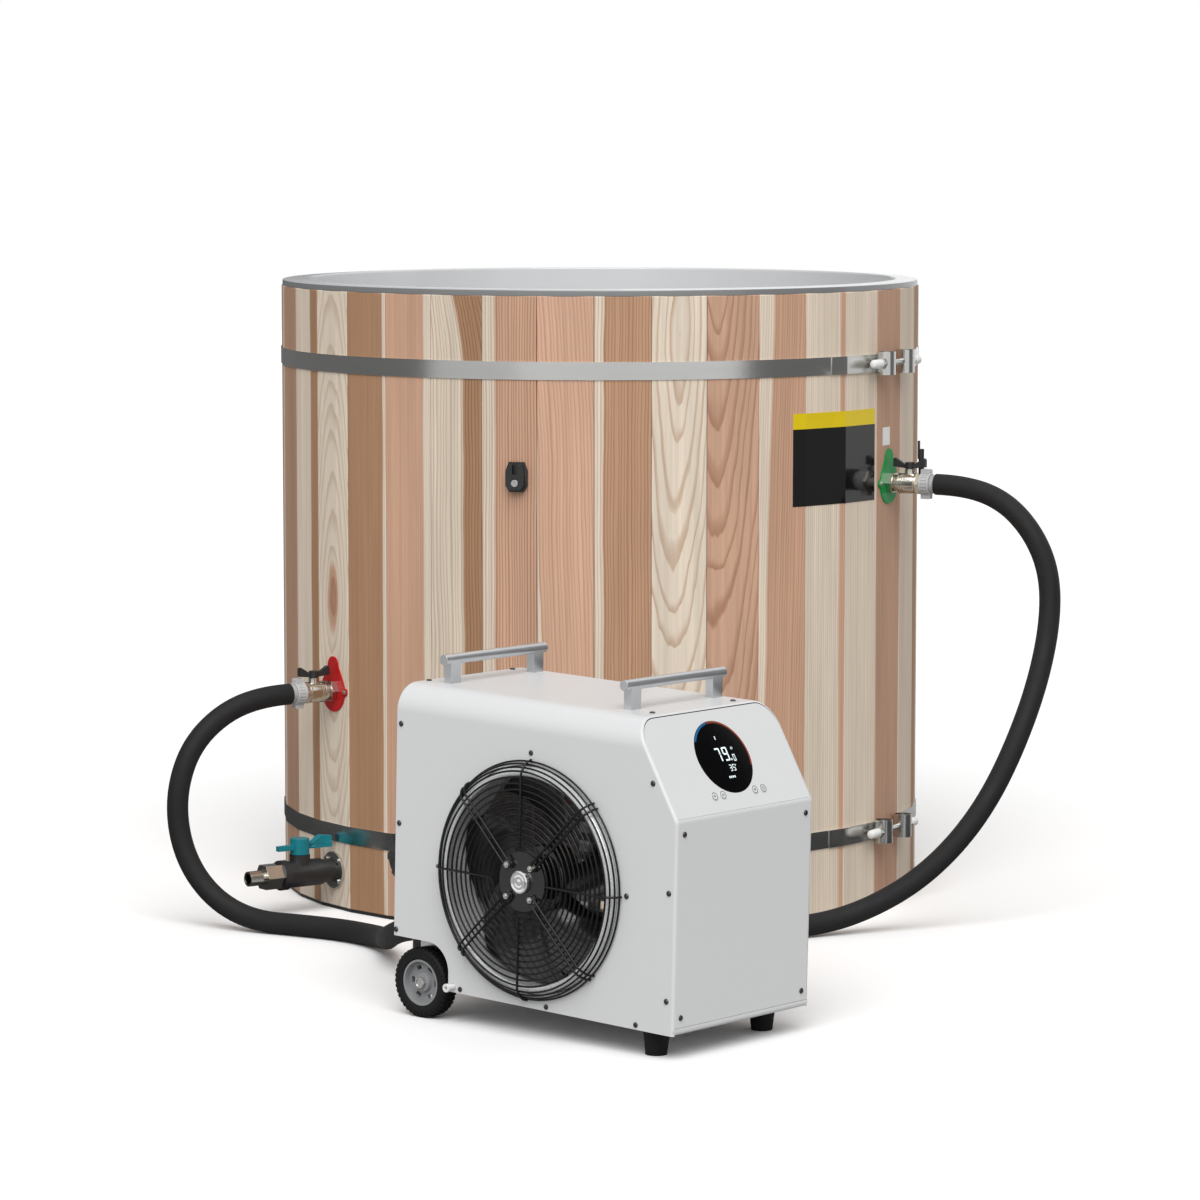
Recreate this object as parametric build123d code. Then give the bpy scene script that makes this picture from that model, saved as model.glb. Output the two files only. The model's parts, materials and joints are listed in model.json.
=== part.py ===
from build123d import *
import os
from math import asin, atan, atan2, cos, degrees, hypot, pi, radians, sin, sqrt, tan

# Barrel cold plunge tub with its wheeled water chiller, joined by two hoses.
# Millimetres. The origin is on the floor at the middle of the barrel, +Z is up,
# X runs along the chiller towards its control panel and the fan faces -Y.

# Driving sizes of the barrel
stave_count = 37
tub_radius = 525.0          # to the corners between the staves
stave_thickness = 34.0
stave_foot = 6.0            # height of the base ring under the staves
stave_top = 992.5
joint_polar = -49.84        # direction of one joint between staves, degrees
stave_chamfer = 1.2
stave_joint_gap = 0.05
tongue_thickness = 9.0
tongue_length = 7.0
tongue_gap = 0.4
seat_gap = 0.3              # clearance of round parts that are only set in place
board_count = 7
board_thickness = 18.0
board_gap = 1.0
batten_height = 16.0
batten_width = 70.0
batten_pitch = 300.0
liner_sheet = 1.5
rim_inset = 2.0             # from the corners of the staves to the rim's lip
rim_height = 10.5           # from the stave tops to the top of the inner bead
rim_bead_rise = 1.5
rim_bead_width = 5.0

# Hoops with their tightening lugs
hoop_band = 1.6
hoop_height = 28.0
upper_hoop_level = 877.4
lower_hoop_level = 125.0
lug_polar = 12.3
lug_radius = 15.0
lug_wall = 2.5
lug_height = 37.0
lug_spacing = 70.8
lug_strap_reach = 13.5      # degrees of doubled strap beyond each lug
rod_radius = 5.0
rod_length = 170.0
nut_across = 17.0
nut_height = 8.0
rod_cap_radius = 7.0
rod_cap_length = 22.0

# Outlet and inlet valves, placed on the flat of a stave
outlet_stave = -6           # staves counted from the joint above
outlet_level = 354.1
inlet_stave = 6
inlet_level = 683.0
plate_radius = 34.0
plate_thickness = 2.0
tab_radius = 15.0
tab_rise = 40.0
ear_radius = 6.5
ear_reach = 35.0
plate_screw_radius = 3.5
plate_screw_height = 2.2
valve_bore = 8.0
valve_pipe_radius = 13.0
valve_hex = 31.0
valve_hex_length = 10.0
valve_waist_radius = 14.0
valve_body_radius = 16.5
valve_length = 58.0
valve_end_hex = 6.0
valve_body_back = 17.0      # body starts this far before the ball's middle
bulkhead_thread = 6.0       # pipe shown inside, past the ring nut
valve_ball_at = 38.0
valve_ball_radius = 12.5
valve_stem_radius = 4.0
valve_stem_top = 33.0
valve_neck_radius = 8.0
valve_neck_top = 23.0
handle_hub_radius = 7.5
handle_bottom = 23.5
handle_top = 34.0
handle_wing_reach = 28.0
handle_wing_width = 7.0
handle_wing_tip = 41.0
union_radius = 17.5
union_length = 24.0
union_wing_span = 48.0
union_wing_width = 12.0
tail_radius = 12.0
tail_reach = 84.0           # wall to the end of the hose tail
bulkhead_radius = 24.0
bulkhead_height = 8.0
run_gap = 0.1               # radial clearance of turning fits

# Air bleed on the inlet side
bleed_at = 52.5
bleed_side = 11.5           # to the far side of the handle
bleed_radius = 4.5
bleed_foot = 10.0           # its thread starts here, inside the valve
bleed_top = 55.0
bleed_lever_top = 68.0
bleed_lever_width = 5.0

# Drain valve
drain_level = 64.0
drain_flange_radius = 29.5
drain_flange_thickness = 5.0
drain_bolt_count = 4
drain_bolt_radius = 4.0
drain_bolt_circle = 23.5
drain_bore = 12.0
drain_body_radius = 21.5
drain_collar_radius = 24.0
drain_collar_length = 12.0
drain_body_length = 100.0
drain_ball_at = 66.0
drain_ball_radius = 17.0
drain_neck_radius = 16.5
drain_neck_top = 31.0
drain_stem_radius = 6.0
drain_stem_top = 50.0
drain_hub_radius = 15.5
drain_hub_top = 57.0
drain_long_arm = 57.0
drain_short_arm = 42.0
drain_arm_width = 14.0
drain_arm_thickness = 8.0
drain_hex = 38.0
drain_hex_length = 31.0
drain_spigot_radius = 12.0
drain_spigot_bore = 9.0
drain_spigot_length = 27.0

# Cover lock on the barrel
latch_stave = -2
latch_offset = 13.0
latch_level = 712.8
latch_width = 35.0
latch_height = 46.6
latch_depth = 15.0
latch_base_depth = 6.0
latch_slot_width = 8.0
latch_slot_height = 15.0
latch_slot_depth = 9.0
latch_plug_radius = 5.5
latch_plug_proud = 1.2
latch_plug_depth = 10.0
latch_plug_drop = 9.0

# Driving sizes of the chiller, in its own frame: x forward from the axle,
# y from its middle, z up from the floor under the axle
axle_at = (599.25, -932.35)
case_rear = -46.0
case_length = 519.6
case_width = 292.0
case_bottom = 48.0
case_top = 472.8
case_sheet = 1.2
case_bend = 38.0
slant_run = 81.2            # how far the slanted panel leans back
slant_foot_level = 340.9
panel_gap = 0.5
wheel_radius = 50.0
wheel_width = 28.0
wheel_inset = 4.4
wheel_rim_radius = 33.0
arch_front = 60.0
arch_top = 113.0
arch_bend = 40.0
bay_gap = 6.0
axle_radius = 6.0
axle_bracket = 3.0
bracket_link = 48.0         # part of each bracket that passes the tray
axle_head = 5.0
axle_head_across = 16.0
hub_length = 24.0
wheel_nut_across = 15.0
wheel_nut_height = 5.0
foot_radius = 19.0
foot_tip_radius = 15.0
foot_height = 37.0
foot_from_front = 55.4
foot_from_side = 32.4
tray_height = 12.0
tray_sheet = 2.0
front_panel_foot = 10.0     # gap below the service panel, above the case bottom

screw_radius = 4.0
screw_height = 2.0
rear_side_screws = ((8.0, 417.0), (7.0, 275.0), (4.0, 122.0))
front_side_screws = ((43.6, 389.0), (11.6, 243.0), (12.1, 95.0))
rear_top_screw = (6.0, 58.0)        # from the rear edge, from the side
front_top_screw = (98.6, 60.0)      # from the front, from the side
service_screws = (72.0, 323.0)
service_screw_offset = 130.0

# Fan
fan_from_rear = 257.0
fan_level = 227.0
fan_screw_gap = 8.0         # from the edge of the guard to the screw beside it
fan_mouth_radius = 160.0
guard_radius = 168.0
guard_proud = 22.0
guard_wire = 2.4
guard_ring_count = 7
guard_flat_radius = 148.0
guard_inner_radius = 40.0
guard_ring_sides = 32
guard_strut_count = 8
duct_radius = 157.0
duct_depth = 62.0
duct_sheet = 1.5
blade_radius = 150.0
blade_count = 5
blade_sheet = 2.5
blade_pitch = 27.0
blade_root_radius = 46.0
rotor_radius = 47.0
rotor_length = 48.0
rotor_face = 16.0           # case side to the near face of the rotor
motor_plate_radius = 42.0
motor_plate_thickness = 3.0
motor_neck_radius = 20.0
motor_shaft_radius = 7.0
motor_cap_radius = 13.0
motor_cap_height = 7.0

# Control panel
display_radius = 54.0
display_thickness = 2.0
display_up = 81.3           # from the foot of the slanted panel, along it
button_radius = 6.0
button_up = 27.5
button_offsets = (-52.0, -34.0, 34.0, 52.0)
button_proud = 1.2
button_depth = 4.0

# Carrying handles
handle_from_rear = 43.0
handle_from_front = 140.6
handle_shift = 8.0
handle_bar_radius = 7.5
handle_bar_length = 212.0
handle_bar_rise = 34.0
post_length = 13.0
post_width = 21.0
post_spacing = 174.0

# Rear panel fittings and inner parts
filter_cap_at = (-91.0, 221.0)
filter_cap_radius = 40.0
filter_cap_length = 30.0
filter_radius = 34.0
filter_length = 76.0
port_at = (44.0, 82.0)
elbow_at = (88.0, 82.0)
elbow_reach = 34.0
port_reach = 58.0
port_flange_radius = 17.0
port_flange = 3.0
port_tail_length = 40.0
inlet_socket_at = (84.0, 400.0)
inlet_socket_size = (28.0, 48.0)
inlet_socket_depth = 22.0
nipple_at = (70.0, 56.0)
nipple_radius = 4.5
nipple_collar_radius = 6.0
nipple_reach = 16.0
nipple_bore = 2.5
coil_from_rear = 122.0
coil_from_front = 77.6
coil_from_side = 28.0
coil_depth = 22.0
coil_height = 330.0
coil_fins = 12
compressor_radius = 48.0
compressor_height = 170.0
compressor_from_front = 73.6
compressor_offset = 20.0
exchanger_radius = 44.0
exchanger_length = 240.0
exchanger_at = (60.0, 20.0, 350.0)
pump_radius = 34.0
pump_length = 120.0
pump_at = (40.0, 28.0, 90.0)
control_box_size = (70.0, 180.0, 34.0)
control_box_from_front = 173.6
control_box_level = 428.0
pipe_radius = 5.0

# Hoses, foam sleeved
hose_radius = 17.0
hose_sides = 12
hose_arc_share = 0.45

# Worked out from the driving sizes
half_stave = 180.0 / stave_count
outer_flat = tub_radius * cos(radians(half_stave))
inner_flat = outer_flat - stave_thickness
liner_radius = inner_flat - seat_gap
liner_floor = batten_height + board_thickness
rim_radius = tub_radius - rim_inset
rim_flange = stave_top + rim_height - rim_bead_rise
outlet_polar = joint_polar + (2 * outlet_stave + 1) * half_stave
inlet_polar = joint_polar + (2 * inlet_stave + 1) * half_stave
latch_polar = joint_polar + (2 * latch_stave + 1) * half_stave
case_front = case_rear + case_length
case_side = case_width / 2
slant_top_at = case_front - slant_run
fan_at = (case_rear + fan_from_rear, fan_level)
slant_rise = case_top - slant_foot_level
slant_length = hypot(slant_run, slant_rise)
coil_size = (case_length - coil_from_rear - coil_from_front, coil_depth, coil_height)
coil_at = (case_rear + coil_from_rear + coil_size[0] / 2, case_side - coil_from_side)
slant_tilt = degrees(atan2(slant_run, slant_rise))
foot_at = case_front - foot_from_front
foot_drop = wheel_radius - (case_bottom - foot_height)
lean = degrees(asin(wheel_radius / hypot(foot_at, foot_drop)) - atan2(foot_drop, foot_at))
case_frame = (
    Location((axle_at[0], axle_at[1], wheel_radius))
    * Location((0, 0, 0), (0, lean, 0))
    * Location((0, 0, -wheel_radius))
)


def on_case(shape):
    """A piece made in the chiller's frame, stood where the chiller is."""
    return case_frame * shape


def stave_frame(polar, level, offset=0.0):
    """Frame on the flat outer face of a stave: x outward, z up."""
    return Location((0, 0, level), (0, 0, polar)) * Location((outer_flat, offset, 0))


def rod_x(radius, start, end, y=0.0, z=0.0):
    return Location((start, y, z), (0, 90, 0)) * Cylinder(
        radius, end - start, align=(Align.CENTER, Align.CENTER, Align.MIN)
    )


def rod_y(radius, start, end, x=0.0, z=0.0):
    return Location((x, start, z), (-90, 0, 0)) * Cylinder(
        radius, end - start, align=(Align.CENTER, Align.CENTER, Align.MIN)
    )


def rod_z(radius, start, end, x=0.0, y=0.0):
    return Location((x, y, start)) * Cylinder(
        radius, end - start, align=(Align.CENTER, Align.CENTER, Align.MIN)
    )


def hex_x(across, start, end):
    sketch = Plane.YZ.offset(start) * RegularPolygon(across / 2, 6, major_radius=False)
    return extrude(sketch, end - start)


def block(x0, x1, y0, y1, z0, z1):
    return Location(((x0 + x1) / 2, (y0 + y1) / 2, (z0 + z1) / 2)) * Box(
        x1 - x0, y1 - y0, z1 - z0
    )


def turned(points):
    """Solid of revolution about Z from points (radius, level)."""
    outline = Plane.XZ * make_face(Polyline(*[(r, z) for r, z in points], close=True))
    return revolve(outline, Axis.Z)


def prism_ring(flat_out, flat_in, bottom, height):
    """Ring that follows the flats of the staves."""
    outside = RegularPolygon(flat_out, stave_count, major_radius=False)
    inside = RegularPolygon(flat_in, stave_count, major_radius=False)
    ring = extrude(outside - inside, height)
    corner = joint_polar
    return Location((0, 0, bottom), (0, 0, corner)) * ring


def save(name, shapes):
    """Writes one node; a list becomes a group of separate solids."""
    if isinstance(shapes, (list, tuple)):
        solids = []
        for shape in shapes:
            solids.extend(shape.solids())
        shape = Compound(children=solids)
    else:
        solids = shapes.solids()
        shape = solids[0] if len(solids) == 1 else Compound(children=solids)
    export_step(shape, f"parts/{name}.step")


# Barrel


def side_point(radius, side, push=0.0):
    """Point on a joint plane of a stave; push moves it across the joint."""
    angle = radians(half_stave) * side
    x = radius * cos(angle) - push * sin(angle)
    y = radius * sin(angle) + push * cos(angle)
    return (x, y)


def stave():
    corner = outer_flat / cos(radians(half_stave))
    heel = inner_flat / cos(radians(half_stave))
    middle = (corner + heel) / 2
    low = middle - tongue_thickness / 2
    high = middle + tongue_thickness / 2
    gap = stave_joint_gap
    edge = corner - stave_chamfer
    half_width = outer_flat * tan(radians(half_stave)) - stave_chamfer
    outline = [
        (inner_flat, -side_point(heel, 1, -gap)[1]),
        side_point(low - tongue_gap, -1, gap),
        side_point(low - tongue_gap, -1, tongue_length + tongue_gap),
        side_point(high + tongue_gap, -1, tongue_length + tongue_gap),
        side_point(high + tongue_gap, -1, gap),
        side_point(edge, -1, gap),
        (outer_flat, -half_width),
        (outer_flat, half_width),
        side_point(edge, 1, -gap),
        side_point(high, 1, -gap),
        side_point(high, 1, tongue_length),
        side_point(low, 1, tongue_length),
        side_point(low, 1, -gap),
        (inner_flat, side_point(heel, 1, -gap)[1]),
    ]
    board = extrude(make_face(Polyline(*outline, close=True)), stave_top - stave_foot)
    return Location((0, 0, stave_foot)) * board


def wall_holes():
    """Holes through the barrel wall for the three pipes."""
    reach = stave_thickness + 4 * liner_sheet
    holes = []
    for polar, level, radius in (
        (outlet_polar, outlet_level, valve_pipe_radius),
        (inlet_polar, inlet_level, valve_pipe_radius),
        (outlet_polar, drain_level, drain_bore + 3.0),
    ):
        hole = rod_x(radius + seat_gap, -reach, 1.0)
        holes.append(stave_frame(polar, level) * hole)
    return holes


def staves():
    board = stave()
    holes = wall_holes()
    made = []
    for number in range(stave_count):
        polar = joint_polar + half_stave + number * 2 * half_stave
        piece = Location((0, 0, 0), (0, 0, polar)) * board
        for hole in holes:
            if (piece & hole).solids():
                piece = piece - hole
        made.append(piece)
    return made


def base_ring():
    inset = 3.0
    return prism_ring(outer_flat - inset, inner_flat + inset, 0.0, stave_foot)


def battens():
    made = []
    for number in (-1, 0, 1):
        y = number * batten_pitch
        half = sqrt((inner_flat - 2 * seat_gap) ** 2 - (abs(y) + batten_width / 2) ** 2)
        made.append(block(-half, half, y - batten_width / 2, y + batten_width / 2, 0, batten_height))
    return made


def floor_boards():
    disc = rod_z(inner_flat - seat_gap, batten_height, liner_floor)
    pitch = 2 * (inner_flat - seat_gap) / board_count
    made = []
    for number in range(board_count):
        x0 = -(inner_flat - seat_gap) + number * pitch
        strip = block(
            x0 + board_gap / 2,
            x0 + pitch - board_gap / 2,
            -tub_radius,
            tub_radius,
            batten_height - 1,
            liner_floor + 1,
        )
        made.append(disc & strip)
    return made


def liner():
    wall_top = rim_flange - liner_sheet
    shell = rod_z(liner_radius, liner_floor, wall_top)
    shell -= rod_z(liner_radius - liner_sheet, liner_floor + liner_sheet, wall_top + 1)
    for hole in wall_holes():
        shell -= hole
    return shell


def rim():
    """Folded flange: lip on the stave tops, low bead round the mouth."""
    inner = liner_radius - liner_sheet
    top = rim_flange
    bead_top = top + rim_bead_rise
    under = top - liner_sheet
    lip = rim_radius - liner_sheet
    bead = inner + rim_bead_width
    return turned(
        [
            (inner, under),
            (inner, bead_top - rim_bead_rise / 2),
            (inner + 0.3 * rim_bead_width, bead_top),
            (inner + 0.7 * rim_bead_width, bead_top),
            (bead, top),
            (rim_radius - liner_sheet / 2, top),
            (rim_radius, top - liner_sheet / 2),
            (rim_radius, stave_top),
            (lip, stave_top),
            (lip, under),
        ]
    )


def hoop(level):
    """Steel band drawn flat on the staves, its ends rolled round two lugs."""
    band_out = outer_flat + hoop_band
    lug_flat = outer_flat / cos(radians(half_stave)) + seat_gap + lug_radius
    half_gap = degrees(atan(lug_spacing / 2 / lug_flat))
    bottom = level - hoop_height / 2
    band = prism_ring(band_out, outer_flat, bottom, hoop_height)
    opening = extrude(
        make_face(
            Polyline(
                (0, 0),
                (2 * tub_radius * cos(radians(half_gap)), 2 * tub_radius * sin(radians(half_gap))),
                (2 * tub_radius * cos(radians(half_gap)), -2 * tub_radius * sin(radians(half_gap))),
                close=True,
            )
        ),
        hoop_height + 2,
    )
    frame = Location((0, 0, bottom - 1), (0, 0, lug_polar))
    band -= frame * opening
    strap = prism_ring(band_out + hoop_band, band_out, bottom, hoop_height)
    reach = half_gap + lug_strap_reach
    keep = []
    for side in (-1, 1):
        wedge = make_face(
            Polyline(
                (0, 0),
                (2 * tub_radius * cos(radians(half_gap)), side * 2 * tub_radius * sin(radians(half_gap))),
                (2 * tub_radius * cos(radians(reach)), side * 2 * tub_radius * sin(radians(reach))),
                close=True,
            )
        )
        keep.append(frame * extrude(wedge, hoop_height + 2))
    straps = [strap & wedge for wedge in keep]
    lug_frame = Location((0, 0, level), (0, 0, lug_polar))
    piece = band + straps[0] + straps[1]
    for side in (-1, 1):
        y = side * lug_spacing / 2
        lug = rod_z(lug_radius, -lug_height / 2, lug_height / 2, lug_flat, y)
        lug -= rod_z(lug_radius - lug_wall, -lug_height, lug_height, lug_flat, y)
        hole = rod_y(rod_radius + seat_gap, y - 2 * lug_radius, y + 2 * lug_radius, lug_flat)
        piece += lug_frame * lug
        piece -= lug_frame * rod_z(lug_radius - lug_wall, -lug_height, lug_height, lug_flat, y)
        piece -= lug_frame * hole
    return piece


def hoop_bolt_frames():
    lug_flat = outer_flat / cos(radians(half_stave)) + seat_gap + lug_radius
    for level in (upper_hoop_level, lower_hoop_level):
        yield Location((0, 0, level), (0, 0, lug_polar)) * Location((lug_flat, 0, 0), (0, 0, 90))


def hoop_bolts():
    """Threaded rods with a hex nut outside each lug."""
    made = []
    seat = lug_spacing / 2 + lug_radius
    for frame in hoop_bolt_frames():
        rod = rod_x(rod_radius, -rod_length / 2, rod_length / 2)
        made.append(frame * rod)
        for side in (-1, 1):
            start = seat + 0.1 if side > 0 else -seat - 0.1 - nut_height
            nut = hex_x(nut_across, start, start + nut_height)
            nut -= rod_x(rod_radius, start - 1, start + nut_height + 1)
            made.append(frame * nut)
    return made


def rod_caps():
    """White plastic caps pressed on the rod ends."""
    made = []
    start = lug_spacing / 2 + lug_radius + 0.1 + nut_height
    end = start + rod_cap_length
    for frame in hoop_bolt_frames():
        for side in (-1, 1):
            cap = turned(
                [
                    (0, rod_length / 2 + seat_gap),
                    (rod_radius + 0.05, rod_length / 2 + seat_gap),
                    (rod_radius + 0.05, start),
                    (rod_cap_radius, start),
                    (rod_cap_radius, end + 1.0),
                    (0.7 * rod_cap_radius, end + 5.0),
                    (0, end + 6.5),
                ]
            )
            cap = Location((0, 0, 0), (0, 90 * side, 0)) * cap
            made.append(frame * cap)
    return made


# Outlet and inlet valves


def wall_plate():
    """Enamel plate with a round tab above and two screw ears."""
    outline = Circle(plate_radius) + Pos(0, tab_rise) * Circle(tab_radius)
    shoulder = plate_radius * 0.8
    outline += make_face(
        Polyline(
            (-shoulder, plate_radius * 0.6),
            (-tab_radius, tab_rise),
            (tab_radius, tab_rise),
            (shoulder, plate_radius * 0.6),
            close=True,
        )
    )
    for side in (-1, 1):
        outline += Pos(side * ear_reach, 0) * Circle(ear_radius)
    outline -= Circle(valve_pipe_radius + seat_gap)
    return extrude(Plane.YZ * outline, plate_thickness)


def plate_screw_set():
    made = []
    for side in (-1, 1):
        top = plate_thickness + plate_screw_height
        made.append(rod_x(plate_screw_radius, plate_thickness, top, side * (ear_reach + 1.0)))
    return made


def valve_shell():
    """Valve housing with its pipe through the wall, open along its bore."""
    start = plate_thickness
    body = rod_x(valve_pipe_radius, -(stave_thickness + bulkhead_height + bulkhead_thread), start + 1)
    body += hex_x(valve_hex, start, start + valve_hex_length)
    body += rod_x(valve_waist_radius, start + valve_hex_length, valve_ball_at - valve_body_back)
    body += rod_x(valve_body_radius, valve_ball_at - valve_body_back, valve_length - valve_end_hex)
    body += hex_x(valve_hex + 1.0, valve_length - valve_end_hex, valve_length)
    body += rod_z(valve_neck_radius, 0.0, valve_neck_top, valve_ball_at)
    body -= rod_x(valve_bore, -2 * tub_radius, valve_length + 1)
    body -= Pos(valve_ball_at, 0, 0) * Sphere(valve_ball_radius + seat_gap)
    body -= rod_z(valve_stem_radius + run_gap, 0, valve_neck_top + 1, valve_ball_at)
    return body


def valve_ball():
    """Drilled ball with the stem that carries the handle."""
    ball = Sphere(valve_ball_radius) + rod_z(valve_stem_radius, 0, valve_stem_top)
    return Pos(valve_ball_at, 0, 0) * (ball - rod_x(valve_bore, -50, 50))


def butterfly_handle():
    """Bow-tie handle: hub on the stem and two wings that rise to their tips."""
    hub = rod_z(handle_hub_radius, handle_bottom, handle_top)
    half = handle_wing_reach
    low = handle_bottom
    wing = make_face(
        Polyline(
            (-half, low + 3.0),
            (-half, handle_wing_tip - 2.0),
            (-half + 3.0, handle_wing_tip),
            (-handle_hub_radius, handle_top - 3.5),
            (handle_hub_radius, handle_top - 3.5),
            (half - 3.0, handle_wing_tip),
            (half, handle_wing_tip - 2.0),
            (half, low + 3.0),
            (handle_hub_radius, low + 1.0),
            (-handle_hub_radius, low + 1.0),
            close=True,
        )
    )
    wings = extrude(Plane.XZ * wing, handle_wing_width / 2, both=True)
    handle = hub + wings
    handle -= rod_z(valve_stem_radius + 0.02, handle_bottom - 1, valve_stem_top)
    return Pos(valve_ball_at, 0, 0) * handle


def union_nut(start=valve_length):
    """Round nut with two finger lugs."""
    end = start + union_length
    nut = rod_x(union_radius, start, end)
    half = union_wing_width / 2
    nut += block(start, end, -half, half, -union_wing_span / 2, union_wing_span / 2)
    return nut - rod_x(tail_radius + seat_gap, start - 1, end + 1)


def hose_tail(start=valve_length, end=tail_reach):
    tail = rod_x(tail_radius, start, end)
    return tail - rod_x(valve_bore, start - 1, end + 1)


def bulkhead_ring(pipe_radius):
    """Ring nut on the pipe, inside the liner."""
    back = -(outer_flat - (liner_radius - liner_sheet)) - 2.0
    ring = rod_x(bulkhead_radius, back - bulkhead_height, back)
    return ring - rod_x(pipe_radius + 0.05, back - bulkhead_height - 1, back + 1)


def air_bleed():
    """Small black bleed cock screwed into the top of the inlet valve."""
    x, y = bleed_at, bleed_side
    body = rod_z(bleed_radius, bleed_foot, bleed_top, x, y)
    half = bleed_lever_width / 2
    back = x - bleed_radius
    lever = block(back - 1.0, back + 1.5, y - half, y + half, bleed_top - 16.0, bleed_lever_top)
    return body + lever


# Drain valve


def drain_flange():
    pipe = drain_bore + 3.0
    inside = stave_thickness + bulkhead_height + bulkhead_thread
    piece = rod_x(drain_flange_radius, 0, drain_flange_thickness)
    piece += rod_x(pipe, -inside, drain_flange_thickness)
    for number in range(drain_bolt_count):
        angle = radians(45 + number * 360 / drain_bolt_count)
        y = drain_bolt_circle * cos(angle)
        z = drain_bolt_circle * sin(angle)
        top = drain_flange_thickness + 3.0
        piece += rod_x(drain_bolt_radius, drain_flange_thickness, top, y, z)
    return piece - rod_x(drain_bore, -inside - 1, drain_flange_thickness + 4)


def drain_end():
    return drain_flange_thickness + drain_body_length


def drain_valve():
    start = drain_flange_thickness
    end = drain_end()
    middle = start + 2 * drain_collar_length
    body = rod_x(drain_body_radius - 2.5, start, middle)
    body += rod_x(drain_body_radius, middle, end - drain_collar_length)
    body += rod_x(drain_collar_radius, end - drain_collar_length, end)
    body += rod_z(drain_neck_radius, 0, drain_neck_top, drain_ball_at)
    body -= rod_x(drain_bore, start - 1, end + 1)
    body -= Pos(drain_ball_at, 0, 0) * Sphere(drain_ball_radius + seat_gap)
    body -= rod_z(drain_stem_radius + run_gap, 0, drain_neck_top + 1, drain_ball_at)
    return body


def drain_ball():
    ball = Sphere(drain_ball_radius) + rod_z(drain_stem_radius, 0, drain_stem_top)
    return Pos(drain_ball_at, 0, 0) * (ball - rod_x(drain_bore, -60, 60))


def drain_handle():
    """Moulded handle: round hub, long thumb paddle towards the wall, short arm."""
    bottom = drain_neck_top + 0.5
    hub = rod_z(drain_hub_radius, bottom, drain_hub_top)
    half = drain_arm_width / 2
    deck = drain_hub_top - 10.0
    plan = make_face(
        Polyline(
            (-drain_long_arm, -half),
            (-drain_long_arm, half),
            (-drain_hub_radius, 0.55 * half),
            (0, half),
            (drain_short_arm, 0.6 * half),
            (drain_short_arm, -0.6 * half),
            (0, -half),
            (-drain_hub_radius, -0.55 * half),
            close=True,
        )
    )
    arms = Pos(0, 0, deck - drain_arm_thickness) * extrude(plan, drain_arm_thickness)
    pad = make_face(
        Polyline(
            (-drain_long_arm, deck - 1.0),
            (-drain_long_arm, drain_hub_top),
            (-drain_long_arm + 20.0, drain_hub_top + 2.0),
            (-drain_hub_radius, deck - 1.0),
            close=True,
        )
    )
    arms += extrude(Plane.XZ * pad, half - 1.0, both=True)
    handle = hub + arms
    handle -= rod_z(drain_stem_radius + 0.02, bottom - 1, drain_stem_top)
    return Pos(drain_ball_at, 0, 0) * handle


def drain_adapter():
    """Hex adapter that ends in a threaded spigot."""
    start = drain_end()
    end = start + drain_hex_length
    piece = hex_x(drain_hex, start, end)
    piece += rod_x(drain_spigot_radius, end, end + drain_spigot_length)
    return piece - rod_x(drain_spigot_bore, start - 1, end + drain_spigot_length + 1)


# Cover lock


def latch_outline(width, height):
    """Upright six-sided plate with a narrower top and foot."""
    half = width / 2
    return make_face(
        Polyline(
            (-0.62 * half, -height / 2),
            (0.62 * half, -height / 2),
            (half, -0.28 * height),
            (half, 0.2 * height),
            (0.7 * half, height / 2),
            (-0.7 * half, height / 2),
            (-half, 0.2 * height),
            (-half, -0.28 * height),
            close=True,
        )
    )


def latch_body():
    base = extrude(Plane.YZ * latch_outline(latch_width, latch_height), latch_base_depth)
    raised = Plane.YZ * latch_outline(latch_width - 6.0, latch_height - 7.0)
    body = base + extrude(raised, latch_depth)
    half = latch_slot_width / 2
    top = latch_height / 2 - 4.0
    body -= block(
        latch_depth - latch_slot_depth,
        latch_depth + 1,
        -half,
        half,
        top - latch_slot_height,
        latch_height,
    )
    back = latch_depth - latch_plug_depth
    hole = rod_x(latch_plug_radius + run_gap, back, latch_depth + 1, 0, -latch_plug_drop)
    return body - hole


def latch_plug():
    back = latch_depth - latch_plug_depth + seat_gap
    front = latch_depth + latch_plug_proud
    plug = rod_x(latch_plug_radius, back, front, 0, -latch_plug_drop)
    keyway = block(front - 1.0, front + 1, -0.8, 0.8, -latch_plug_drop - 3.5, -latch_plug_drop + 3.5)
    return plug - keyway


# Chiller case


def case_section(inset):
    """Cross-section of the case: flat foot, rounded shoulders."""
    half = case_side - inset
    top = case_top - inset
    bend = case_bend - inset
    lines = [
        Line((-half, case_bottom), (-half, top - bend)),
        RadiusArc((-half, top - bend), (-half + bend, top), bend),
        Line((-half + bend, top), (half - bend, top)),
        RadiusArc((half - bend, top), (half, top - bend), bend),
        Line((half, top - bend), (half, case_bottom)),
        Line((half, case_bottom), (-half, case_bottom)),
    ]
    return make_face(Wire(lines))


def case_block(inset, x0, x1):
    return extrude(Plane.YZ.offset(x0) * case_section(inset), x1 - x0)


def slant_plane(depth=0.0):
    """Plane of the slanted panel: x along the case width, y up the slope."""
    middle = Vector(case_front, 0, slant_foot_level)
    normal = Vector(slant_rise, 0, slant_run).normalized()
    return Plane(middle - normal * depth, x_dir=(0, 1, 0), z_dir=normal)


def front_cut(depth=0.0):
    """Everything in front of the slanted panel's plane."""
    sketch = slant_plane(depth) * Pos(0, slant_length / 2) * Rectangle(
        3 * case_width, 3 * slant_length
    )
    return extrude(sketch, case_length)


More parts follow.
